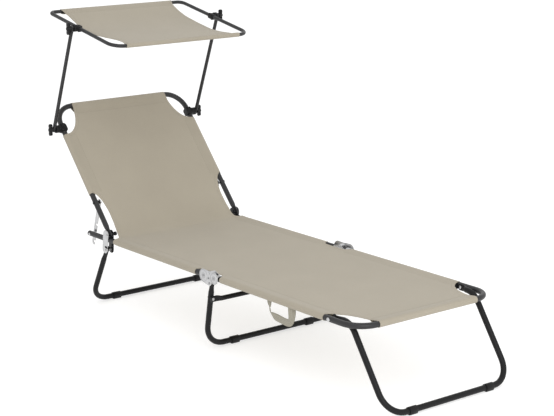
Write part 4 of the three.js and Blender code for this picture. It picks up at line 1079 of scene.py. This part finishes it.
def woven(name, strips, thickness):
    """One sheet from strips: rows of (point, across, along, painted shade)."""
    clear()
    mesh = bpy.data.meshes.new(name)
    piece = bpy.data.objects.new(name, mesh)
    bpy.context.scene.collection.objects.link(piece)
    build = bmesh.new()
    cloth_map = build.loops.layers.uv.new("cloth")
    layer = build.verts.layers.float.new("doubled")
    for rows in strips:
        grid = []
        for row in rows:
            line = []
            for point, u, v, painted_shade_value in row:
                vert = build.verts.new(point)
                vert[layer] = painted_shade_value
                line.append((vert, u, v))
            grid.append(line)
        for low, high in zip(grid, grid[1:]):
            for a, b, c, d in zip(low, low[1:], high[1:], high):
                face = build.faces.new([a[0], b[0], c[0], d[0]])
                for loop, corner in zip(face.loops, (a, b, c, d)):
                    loop[cloth_map].uv = (corner[1], corner[2])
    bmesh.ops.remove_doubles(build, verts=build.verts, dist=2e-6)
    bmesh.ops.recalc_face_normals(build, faces=build.faces)
    build.to_mesh(mesh)
    build.free()
    modify(piece, "SOLIDIFY", thickness=thickness, offset=0.0, use_even_offset=True, use_quality_normals=True)
    return smooth(piece, 55)


COLUMNS = [0, 30, 60, 90, 120, 150, 178, 204, 226, 238, 241.5, 242.5, 250, 258, 266, 273, 280]
HEM = 12 * MM
CROWN = TUBE + 0.9 * MM
CLOTH = 1.0 * MM


def panel(spread, stations, columns, doubled):
    """The open part of a sheet, from side to side."""
    rows = []
    for s in stations:
        half = spread.width(s)
        share = [c / columns[-1] for c in columns]
        places = [-half * t for t in reversed(share[1:])] + [half * t for t in share]
        rows.append([(spread.point(s, y), y, s, doubled(s, y)) for y in places])
    return rows


def side_sleeve(spread, stations, side, y, tube, seam):
    """The cloth from the crown of a side tube, round its outside and back below to the seam."""
    around = [math.radians(a) for a in (0, 20, 40, 60, 80, 100, 120, 140, 160, 180)]
    back = [0.15, 0.35, 0.6, 0.8, 1.0]
    rows = []
    for s in stations:
        place, normal = spread.spine(s)
        row = []
        for a in around:
            reach = y + tube * math.sin(a)
            point = place + normal * (tube * math.cos(a))
            point.y = side * reach
            # The last value is painted shade: 1 on the doubled cloth, growing to 4 round the underside of the tube.
            row.append((point, side * (y + tube * a), s, 1.0 + 3.0 * eased(a / math.radians(110))))
        level = spread.rise(s, y - seam) - 1.5 * MM
        for t in back:
            point = place + normal * (-tube + (level + tube) * t ** 1.6)
            point.y = side * (y - (seam - 1 * MM) * t)
            row.append((point, side * (y + tube * math.pi + seam * t), s, 1.0))
        rows.append(row)
    return rows


def end_sleeve(spread, end, outward_sign, columns, tube, seam):
    """The cloth from the crown of an end tube, round its outside and back below to the seam."""
    place, normal = spread.spine(end)
    ahead = (spread.spine(end)[0] - spread.spine(end - outward_sign * 1 * MM)[0]).normalized()
    half = spread.width(end)
    share = [c / columns[-1] for c in columns]
    places = [-half * t for t in reversed(share[1:])] + [half * t for t in share]
    rows = []
    for a in (math.radians(d) for d in (0, 20, 40, 60, 80, 100, 120, 140, 160, 180)):
        row = []
        for y in places:
            point = place + normal * (tube * math.cos(a)) + ahead * (tube * math.sin(a))
            point.y = y
            row.append((point, y, end + outward_sign * tube * a, 1.0))
        rows.append(row)
    for t in (0.15, 0.35, 0.6, 0.8, 1.0):
        s = end - outward_sign * (seam - 1 * MM) * t
        foot, up = spread.spine(s)
        row = []
        for y in places:
            level = spread.rise(end - outward_sign * seam, abs(y)) - 1.5 * MM
            point = foot + up * (-tube + (level + tube) * t ** 1.6)
            point.y = y
            row.append((point, y, end + outward_sign * (tube * math.pi + seam * t), 1.0))
        rows.append(row)
    return rows


def edge_line(spread, start, end, side, step=6 * MM):
    """Places along a free edge, evenly spaced however steep the edge is."""
    count = max(4, round(abs(end - start) / (0.4 * MM)))
    raw = [start + (end - start) * i / count for i in range(count + 1)]
    points = [(s, side * spread.width(s)) for s in raw]
    kept = [points[0]]
    for p in points[1:-1]:
        if math.hypot(p[0] - kept[-1][0], p[1] - kept[-1][1]) >= step:
            kept.append(p)
    if math.hypot(points[-1][0] - kept[-1][0], points[-1][1] - kept[-1][1]) < step * 0.4:
        kept.pop()
    return [*kept, points[-1]]


def inset(line, distance):
    """The line moved sideways over the sheet, towards its middle."""
    moved = []
    for i, (s, y) in enumerate(line):
        a, b = line[max(0, i - 1)], line[min(len(line) - 1, i + 1)]
        run = Vector((b[0] - a[0], b[1] - a[1])).normalized()
        normal = Vector((-run.y, run.x))
        if normal.y * y > 0 or (abs(normal.y) < 1e-6 and normal.x * (s - line[len(line) // 2][0]) < 0):
            normal = -normal
        moved.append((s + normal.x * distance, y + normal.y * distance))
    return moved


def hem(spread, line):
    """The folded edge: the cloth turns under along the line and lies back below it."""
    rows = []
    outer, inner = inset(line, -0.7 * MM), inset(line, HEM)
    middle = inset(line, HEM * 0.5)
    for i, (s, y) in enumerate(line):
        rows.append([
            (spread.point(s, y), y, s, 1.0),
            (spread.point(*outer[i], -0.65 * MM), y, s, 1.0),
            (spread.point(s, y, -1.3 * MM), y, s, 1.0),
            (spread.point(*middle[i], -1.3 * MM), y - HEM * 0.5, s, 1.0),
            (spread.point(*inner[i], -1.25 * MM), y - HEM, s, 1.0),
        ])
    return rows


def stitch_row(points, length=3.2 * MM, gap=1.4 * MM, thick=0.38 * MM):
    """Short rounded stitches along a line of (place, out) pairs, as plain corners and faces."""
    corners, faces = [], []
    distances = [0.0]
    for a, b in zip(points, points[1:]):
        distances.append(distances[-1] + (b[0] - a[0]).length)

    def spot(distance):
        for i, (low, high) in enumerate(zip(distances, distances[1:])):
            if distance <= high or i == len(distances) - 2:
                t = (distance - low) / max(high - low, 1e-9)
                return points[i][0].lerp(points[i + 1][0], t), points[i][1].lerp(points[i + 1][1], t).normalized()

    count = int(distances[-1] / (length + gap))
    for k in range(count):
        begin = k * (length + gap) + gap / 2
        (p, n), (q, _) = spot(begin), spot(begin + length)
        run = (q - p).normalized()
        side = run.cross(n).normalized() * thick
        base = len(corners)
        low = -n * 0.25 * MM
        top = n * thick * 0.9
        mid_p, mid_q = p.lerp(q, 0.2), p.lerp(q, 0.8)
        corners += [p + low, mid_p - side, mid_p + top, mid_p + side,
                    mid_q - side, mid_q + top, mid_q + side, q + low]
        corners += [mid_p + low, mid_q + low]
        faces += [[base, base + 1, base + 2], [base, base + 2, base + 3], [base, base + 3, base + 8],
                  [base, base + 8, base + 1], [base + 1, base + 4, base + 5, base + 2],
                  [base + 2, base + 5, base + 6, base + 3], [base + 3, base + 6, base + 9, base + 8],
                  [base + 8, base + 9, base + 4, base + 1], [base + 7, base + 5, base + 4],
                  [base + 7, base + 6, base + 5], [base + 7, base + 9, base + 6], [base + 7, base + 4, base + 9]]
    return corners, faces


def stitching(name, lines):
    corners, faces = [], []
    for line in lines:
        more, sides = stitch_row(line)
        faces += [[i + len(corners) for i in side] for side in sides]
        corners += more
    mesh = bpy.data.meshes.new(name)
    mesh.from_pydata(corners, [], faces)
    mesh.update()
    piece = bpy.data.objects.new(name, mesh)
    bpy.context.scene.collection.objects.link(piece)
    outward(piece)
    return smooth(piece, 60)


def over_sheet(spread, line, lift=0.5 * MM):
    """Points and outward directions of a stitch line that lies on the sheet's upper face."""
    made = []
    for s, y in line:
        forward, sideways = spread.frame(s, y)
        out = forward.cross(sideways)
        place, normal = spread.spine(s)
        if out.dot(normal) < 0:
            out = -out
        made.append((spread.point(s, y, lift), out))
    return made


def under_sheet(spread, line, drop=2.1 * MM):
    return [(point - out * drop, -out) for point, out in over_sheet(spread, line, 0.0)]


def steps(start, end, pitch):
    count = max(1, math.ceil(abs(end - start) / pitch))
    return [start + (end - start) * i / count for i in range(count + 1)]


# Middle line of the long cloth: down the backrest, round the hip and along the seat
HIP = 62 * MM
HALF_TURN = (math.pi - BACK_ANGLE) / 2
HIP_TANGENT = HIP * math.tan(HALF_TURN)
MEET = at(-587.8, 258)


def long_spine(s):
    """Place and upward direction; s is the distance up the backrest line, and runs on below the hip."""
    straight = HIP_TANGENT - (MEET - HINGE).length
    if s >= straight:
        point = HINGE + BACK_DIR * s
        return point, BACK_FRONT.copy()
    arc = HIP * 2 * HALF_TURN
    if s >= straight - arc:
        turn = (straight - s) / HIP
        centre = HINGE + BACK_DIR * straight + BACK_FRONT * HIP
        angle = math.atan2(-BACK_FRONT.z, -BACK_FRONT.x) + turn
        out = Vector((math.cos(angle), 0, math.sin(angle)))
        return centre + out * HIP, -out
    x = MEET.x + HIP_TANGENT + (straight - arc - s)
    return Vector((x, 0, RAIL_Z)), Vector((0, 0, 1))


def seat_s(x_mm):
    """The long cloth's distance at a place on the seat, x in millimetres from the fold."""
    straight = HIP_TANGENT - (MEET - HINGE).length
    arc = HIP * 2 * HALF_TURN
    return straight - arc - (x_mm * MM + SHIFT - MEET.x - HIP_TANGENT)


def bite(along_reach, across_reach, full, away):
    """Half width inside a rounded corner bite, away from the end tube's line."""
    t = min(1.0, max(0.0, away / along_reach))
    return full - across_reach * math.sqrt(max(0.0, 1 - t * t))


def back_width(s):
    if s >= BACK - 120 * MM:
        return bite(120 * MM, 75 * MM, RAIL_Y, BACK - s)
    stops = [(seat_s(-571) - 0.01 * MM, 280), (seat_s(-576), 266), (seat_s(-588), 256), (0.0, 251.5), (20 * MM, 250),
             (42 * MM, 248), (78 * MM, 247.5), (126 * MM, 254), (157 * MM, 267), (169 * MM, 280)]
    return between(stops, s) * MM


def foot_spine(s):
    """Place and upward direction; s is the distance from the middle fold."""
    return Vector((s + SHIFT, 0, RAIL_Z)), Vector((0, 0, 1))


def foot_width(s):
    if s >= FOOT - 150 * MM:
        return bite(150 * MM, 77 * MM, RAIL_Y, FOOT - s)
    stops = [(-81, 280), (-77, 269), (-68, 263), (-46, 261), (0, 260.5), (30, 261), (37, 264), (43, 269.5), (49, 275), (53, 280)]
    return between(stops, s / MM) * MM


def make_long_cloth():
    spread = Spread(long_spine, back_width, [BACK], TUBE, CROWN, 38 * MM, 4.6 * MM, RAIL_Y)
    middle, lower = seat_s(-340), seat_s(-571)
    sleeve_low, sleeve_high = 168 * MM, BACK - 120 * MM
    stations = steps(middle, lower, 24 * MM)
    stations += steps(lower, seat_s(-588), 2 * MM)[1:] + steps(seat_s(-588), 120 * MM, 7 * MM)[1:]
    stations += steps(120 * MM, sleeve_low, 4 * MM)[1:]
    stations += [sleeve_low + 0.5 * MM]
    stations += steps(sleeve_low + 0.5 * MM, sleeve_high, 20 * MM)[1:]
    stations += [BACK - 120 * MM * math.cos(math.pi / 2 * i / 14) for i in range(1, 15)]
    seam = BACK - 38 * MM
    stations = sorted({round(s, 6) for s in stations + [seam - 0.5 * MM, seam + 0.5 * MM, BACK - 26 * MM, BACK - 12 * MM]})

    # Painted shade on the side bands and the end band, where the cloth is doubled.
    def doubled(s, y):
        side = abs(y) > 242 * MM and (s < lower or sleeve_low < s <= sleeve_high + 1 * MM)
        return 1.0 if side or s > seam else 0.0

    strips = [panel(spread, stations, COLUMNS, doubled)]
    on_back = [s for s in stations if sleeve_low <= s <= sleeve_high + 1e-6]
    on_seat = [s for s in stations if s <= lower + 1e-6]
    for side in (1, -1):
        strips.append(side_sleeve(spread, on_back, side, RAIL_Y, CROWN, 38 * MM))
        strips.append(side_sleeve(spread, on_seat, side, RAIL_Y, CROWN, 38 * MM))
    strips.append(end_sleeve(spread, BACK, 1, COLUMNS, CROWN, 38 * MM))
    hems, lines = [], []
    for side in (1, -1):
        for start, end in ((lower, sleeve_low), (sleeve_high, BACK)):
            edge = edge_line(spread, start, end, side)
            strips.append(hem(spread, edge))
            lines.append(over_sheet(spread, inset(edge, HEM - 2 * MM)[1:-1]))
            lines.append(under_sheet(spread, inset(edge, HEM - 2 * MM)[1:-1]))
    back_lines, seat_lines = [], []
    half = spread.width(BACK) - 4 * MM
    across_line = [(seam, y) for y in steps(-half, half, 12 * MM)]
    back_lines += [over_sheet(spread, across_line), under_sheet(spread, across_line)]
    for side in (1, -1):
        for group, start, end in ((back_lines, sleeve_low + 2 * MM, sleeve_high - 2 * MM), (seat_lines, middle, lower - 2 * MM)):
            line = [(s, side * 242 * MM) for s in steps(start, end, 12 * MM)]
            group += [over_sheet(spread, line), under_sheet(spread, line)]
    cloth = woven("backrest_and_seat_cloth", strips, CLOTH)
    free = stitching("hip_stitching", lines)
    return cloth, free, stitching("backrest_stitching", back_lines), stitching("seat_stitching", seat_lines)


def make_foot_cloth():
    spread = Spread(foot_spine, foot_width, [FOOT], TUBE, CROWN, 38 * MM, 4.6 * MM, RAIL_Y)
    low_end, start, corner = -81 * MM, 53 * MM, FOOT - 150 * MM
    stations = steps(-340 * MM, low_end, 24 * MM) + steps(low_end, -63 * MM, 2 * MM)[1:]
    stations += steps(-63 * MM, 30 * MM, 8 * MM)[1:] + steps(30 * MM, start, 2.5 * MM)[1:] + [start + 0.5 * MM]
    stations += steps(start + 0.5 * MM, corner, 24 * MM)[1:]
    stations += [FOOT - 150 * MM * math.cos(math.pi / 2 * i / 14) for i in range(1, 15)]
    seam = FOOT - 38 * MM
    stations = sorted({round(s, 6) for s in stations + [seam - 0.5 * MM, seam + 0.5 * MM, FOOT - 26 * MM, FOOT - 12 * MM]})

    # Painted shade on the side bands and the end band, where the cloth is doubled.
    def doubled(s, y):
        side = abs(y) > 242 * MM and (s < low_end or start < s <= corner + 1 * MM)
        return 1.0 if side or s > seam else 0.0

    strips = [panel(spread, stations, COLUMNS, doubled)]
    on_seat = [s for s in stations if s <= low_end + 1e-6]
    on_foot = [s for s in stations if start + 0.4 * MM <= s <= corner + 1e-6]
    for side in (1, -1):
        strips.append(side_sleeve(spread, on_seat, side, RAIL_Y, CROWN, 38 * MM))
        strips.append(side_sleeve(spread, on_foot, side, RAIL_Y, CROWN, 38 * MM))
    strips.append(end_sleeve(spread, FOOT, 1, COLUMNS, CROWN, 38 * MM))
    lines, seat_lines, foot_lines = [], [], []
    for side in (1, -1):
        edge = edge_line(spread, low_end, start, side)
        strips.append(hem(spread, edge))
        lines += [over_sheet(spread, inset(edge, HEM - 2 * MM)[1:-1]), under_sheet(spread, inset(edge, HEM - 2 * MM)[1:-1])]
        edge = edge_line(spread, corner, FOOT, side)
        strips.append(hem(spread, edge))
        foot_lines += [over_sheet(spread, inset(edge, HEM - 2 * MM)[1:-1]), under_sheet(spread, inset(edge, HEM - 2 * MM)[1:-1])]
        for group, first, last in ((seat_lines, -340 * MM, low_end - 2 * MM), (foot_lines, start + 2 * MM, corner - 2 * MM)):
            line = [(s, side * 242 * MM) for s in steps(first, last, 12 * MM)]
            group += [over_sheet(spread, line), under_sheet(spread, line)]
    half = spread.width(FOOT) - 4 * MM
    across_line = [(seam, y) for y in steps(-half, half, 12 * MM)]
    foot_lines += [over_sheet(spread, across_line), under_sheet(spread, across_line)]
    cloth = woven("seat_and_foot_cloth", strips, CLOTH)
    return (cloth, stitching("fold_stitching", lines), stitching("front_seat_stitching", seat_lines),
            stitching("foot_stitching", foot_lines))


CANOPY_HANG = [(0, 0), (20, 3), (40, 7), (60, 12), (80, 16), (110, 21), (150, 24.3), (190, 25), (230, 23), (270, 19.5),
               (300, 16), (330, 12), (360, 8), (395, 3.2), (428.5, 0)]


def canopy_spine(s):
    """Place and upward direction over the canopy, s from its back tube; the sheet hangs between its tubes."""
    step = 1 * MM
    hang = between(CANOPY_HANG, s / MM) * MM
    slope = (between(CANOPY_HANG, (s + step) / MM) - between(CANOPY_HANG, (s - step) / MM)) / 2
    tilt = math.atan(slope)
    ease = eased(min(s, CANOPY_DEPTH - s) / (12 * MM))
    normal = CANOPY_UP * math.cos(tilt * ease) + CANOPY_DIR * math.sin(tilt * ease)
    return CANOPY_BACK + CANOPY_DIR * s - CANOPY_UP * hang, normal


def canopy_width(s):
    stops = [(0, 242), (20, 235), (60, 233), (110, 234), (150, 236.5), (190, 235.5), (230, 231), (270, 223.5), (300, 217),
             (330, 214), (360, 216.5), (390, 225), (412, 234), (428.5, 242)]
    return between(stops, s / MM) * MM


def make_canopy_cloth():
    wrap = CANOPY_TUBE + 0.9 * MM
    seam = 24 * MM
    spread = Spread(canopy_spine, canopy_width, [0.0, CANOPY_DEPTH], CANOPY_TUBE, wrap, seam, 1.5 * MM)
    columns = [0, 30, 60, 90, 120, 150, 180, 205, 225, 236, 242]
    stations = steps(0, CANOPY_DEPTH, 14 * MM) + steps(400 * MM, CANOPY_DEPTH, 4 * MM)
    stations += [seam - 0.5 * MM, seam + 0.5 * MM, CANOPY_DEPTH - seam - 0.5 * MM, CANOPY_DEPTH - seam + 0.5 * MM]
    stations = sorted({round(s, 6) for s in stations})

    # Painted shade on the end bands, where the cloth is doubled.
    def doubled(s, y):
        return 1.0 if s < seam or s > CANOPY_DEPTH - seam else 0.0

    strips = [panel(spread, stations, columns, doubled),
              end_sleeve(spread, CANOPY_DEPTH, 1, columns, wrap, seam), end_sleeve(spread, 0.0, -1, columns, wrap, seam)]
    lines = []
    for side in (1, -1):
        edge = edge_line(spread, 0.0, CANOPY_DEPTH, side)
        strips.append(hem(spread, edge))
        lines += [over_sheet(spread, inset(edge, HEM - 2 * MM)[2:-2]), under_sheet(spread, inset(edge, HEM - 2 * MM)[2:-2])]
    for s in (seam, CANOPY_DEPTH - seam):
        half = spread.width(s) - 4 * MM
        line = [(s, y) for y in steps(-half, half, 12 * MM)]
        lines += [over_sheet(spread, line), under_sheet(spread, line)]
    return woven("canopy_cloth", strips, CLOTH), stitching("canopy_stitching", lines)


# The camera at the photograph's angle, soft light and a pale floor
def make_studio():
    camera = bpy.data.objects.new("camera", bpy.data.cameras.new("camera"))
    bpy.context.scene.collection.objects.link(camera)
    camera.location = at(4045.5, 1680.8, -3254.1)
    azimuth, elevation = math.radians(51.26), math.radians(13.38)
    forward = Vector((-math.sin(azimuth) * math.cos(elevation), math.cos(azimuth) * math.cos(elevation), -math.sin(elevation)))
    camera.rotation_euler = forward.to_track_quat("-Z", "Y").to_euler()
    camera.data.sensor_width = 36
    camera.data.lens = 36 * 1601 / 554
    camera.data.clip_end = 60
    bpy.context.scene.camera = camera
    world = bpy.data.worlds.new("room")
    bpy.context.scene.world = world
    world.use_nodes = True
    world.node_tree.nodes["Background"].inputs["Color"].default_value = (1, 1, 1, 1)
    world.node_tree.nodes["Background"].inputs["Strength"].default_value = 0.92
    lamps = (("key_light", at(1500, 3600, -1800), 2.6, 14), ("fill_light", at(-1500, 2500, 2500), 2.4, 8),
             ("front_light", at(3600, 1500, -1200), 2.4, 42))
    for name, place, size, power in lamps:
        lamp = bpy.data.objects.new(name, bpy.data.lights.new(name, "AREA"))
        bpy.context.scene.collection.objects.link(lamp)
        lamp.location = place
        lamp.rotation_euler = (at(0, 350) - place).to_track_quat("-Z", "Y").to_euler()
        lamp.data.shape = "DISK"
        lamp.data.size = size
        lamp.data.energy = power
    clear()
    bpy.ops.mesh.primitive_plane_add(size=60, location=(0, 0, 0))
    floor = named("floor")
    ground = Finish("pale_floor", Roughness=1.0, Specular_IOR_Level=0.0, Emission_Color=(1, 1, 1, 1), Emission_Strength=0.6)
    speck = ground.noise(2.0, 2)
    floor.data.materials.append(ground.feed(Base_Color=ground.mixed(speck, (0.55, 0.55, 0.55), (0.57, 0.57, 0.57))))
    bpy.context.scene.view_settings.view_transform = "Standard"


def dress(piece, body, nodes, material, slot):
    piece.data.materials.clear()
    piece.data.materials.append(material)
    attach(piece, body)
    if nodes:
        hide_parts(*nodes)


def build():
    make_studio()
    finishes = {"frame_paint": powder_coat("frame_paint", (0.014, 0.014, 0.015), (0.026, 0.026, 0.028), 0.4),
                # A darker, less glossy copy of the frame's powder coat for the legs: painted shade of the cloth above
                # them.
                "leg_paint_painted_shade": powder_coat("leg_paint_painted_shade", (0.005, 0.005, 0.0055), (0.010, 0.010, 0.011), 0.22),
                "zinc_steel": zinc_steel(), "dull_steel_and_rim_shade": dull_steel_and_rim_shade(), "black_steel": black_steel(),
                "black_plastic": black_plastic(), "cloth": lounger_cloth(), "thread": thread(), "webbing": strap_webbing()}
    for tube, (body, nodes) in make_frame_tubes().items():
        # Leg tubes take the darker copy as painted shade; every tube keeps the frame_paint slot.
        dress(tube, body, nodes, finishes["leg_paint_painted_shade" if "leg" in body else "frame_paint"], "frame_paint")
    for group in (make_fasteners(), rear_plates(), fold_leaves()):
        for piece, (body, node, slot) in group.items():
            left = [node] if node else []
            finish = finishes[slot]
            slot = "zinc_steel" if slot == "dull_steel_and_rim_shade" else slot
            dress(piece, body, left, finish, slot)
            dress(other_side(piece, piece.name.replace("_left", "_right")), body,
                  [n.replace("_left", "_right") for n in left], finish, slot)
    for piece, node, slot in ((recline_stay(), "recline_stay", "zinc_steel"),
                              (wing_knob("lower_wing_knob_left", LOWER_CLAMP), "lower_knob", "black_plastic"),
                              (wing_knob("upper_wing_knob_left", UPPER_CLAMP), "upper_knob", "black_plastic")):
        for side, own in (("left", piece), ("right", other_side(piece, piece.name.replace("_left", "_right")))):
            dress(own, f"{node}_{side}", [f"{node}_{side}"], finishes[slot], slot)
    for node, body, place, *sizes in (
            ("lower_clamp", "backrest", LOWER_CLAMP, BACK_DIR, TUBE, RAIL_Y, 14, 25, 27),
            ("upper_clamp", "canopy", UPPER_CLAMP, CANOPY_DIR, CANOPY_TUBE, CANOPY_Y, 12.5, 18, 24)):
        clip = tube_clamp(f"{node}_left_piece", place, *sizes)
        for side, own in (("left", clip), ("right", other_side(clip, f"{node}_right_piece"))):
            dress(own, body, [f"{node}_{side}"], finishes["black_plastic"], "black_plastic")
    for node, body in (("rear_pad", "rear_leg"), ("mid_pad", "mid_leg"), ("foot_pad", "foot_leg")):
        for side in ("left", "right"):
            piece = refined(f"{node}_{side}_piece", f"{node}_{side}")
            shorten_pad(piece, f"{node}_{side}")
            dress(piece, body, [f"{node}_{side}"], finishes["black_plastic"], "black_plastic")
    cloth, hip, back, seat = make_long_cloth()
    for piece, nodes in ((cloth, ["backrest_fabric", "seat_fabric"]), (hip, [])):
        piece.data.materials.append(finishes["cloth" if nodes else "thread"])
        at(-578, 262)
        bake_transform(piece)
        if nodes:
            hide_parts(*nodes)
    dress(back, "backrest", [], finishes["thread"], "cloth")
    dress(seat, "seat_section", [], finishes["thread"], "cloth")
    foot_cloth, fold, front, foot = make_foot_cloth()
    for piece, nodes in ((foot_cloth, ["foot_fabric"]), (fold, [])):
        piece.data.materials.append(finishes["cloth" if nodes else "thread"])
        at(-77, 262)
        at(50, 262)
        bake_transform(piece)
        if nodes:
            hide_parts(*nodes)
    dress(front, "seat_section", [], finishes["thread"], "cloth")
    dress(foot, "foot_section", [], finishes["thread"], "cloth")
    canopy, canopy_sewing = make_canopy_cloth()
    dress(canopy, "canopy", ["canopy_fabric"], finishes["cloth"], "cloth")
    dress(canopy_sewing, "canopy", [], finishes["thread"], "cloth")
    handle, length = make_handle()
    dress(handle, "foot_section", ["carry_handle"], finishes["webbing"], "webbing")


build()
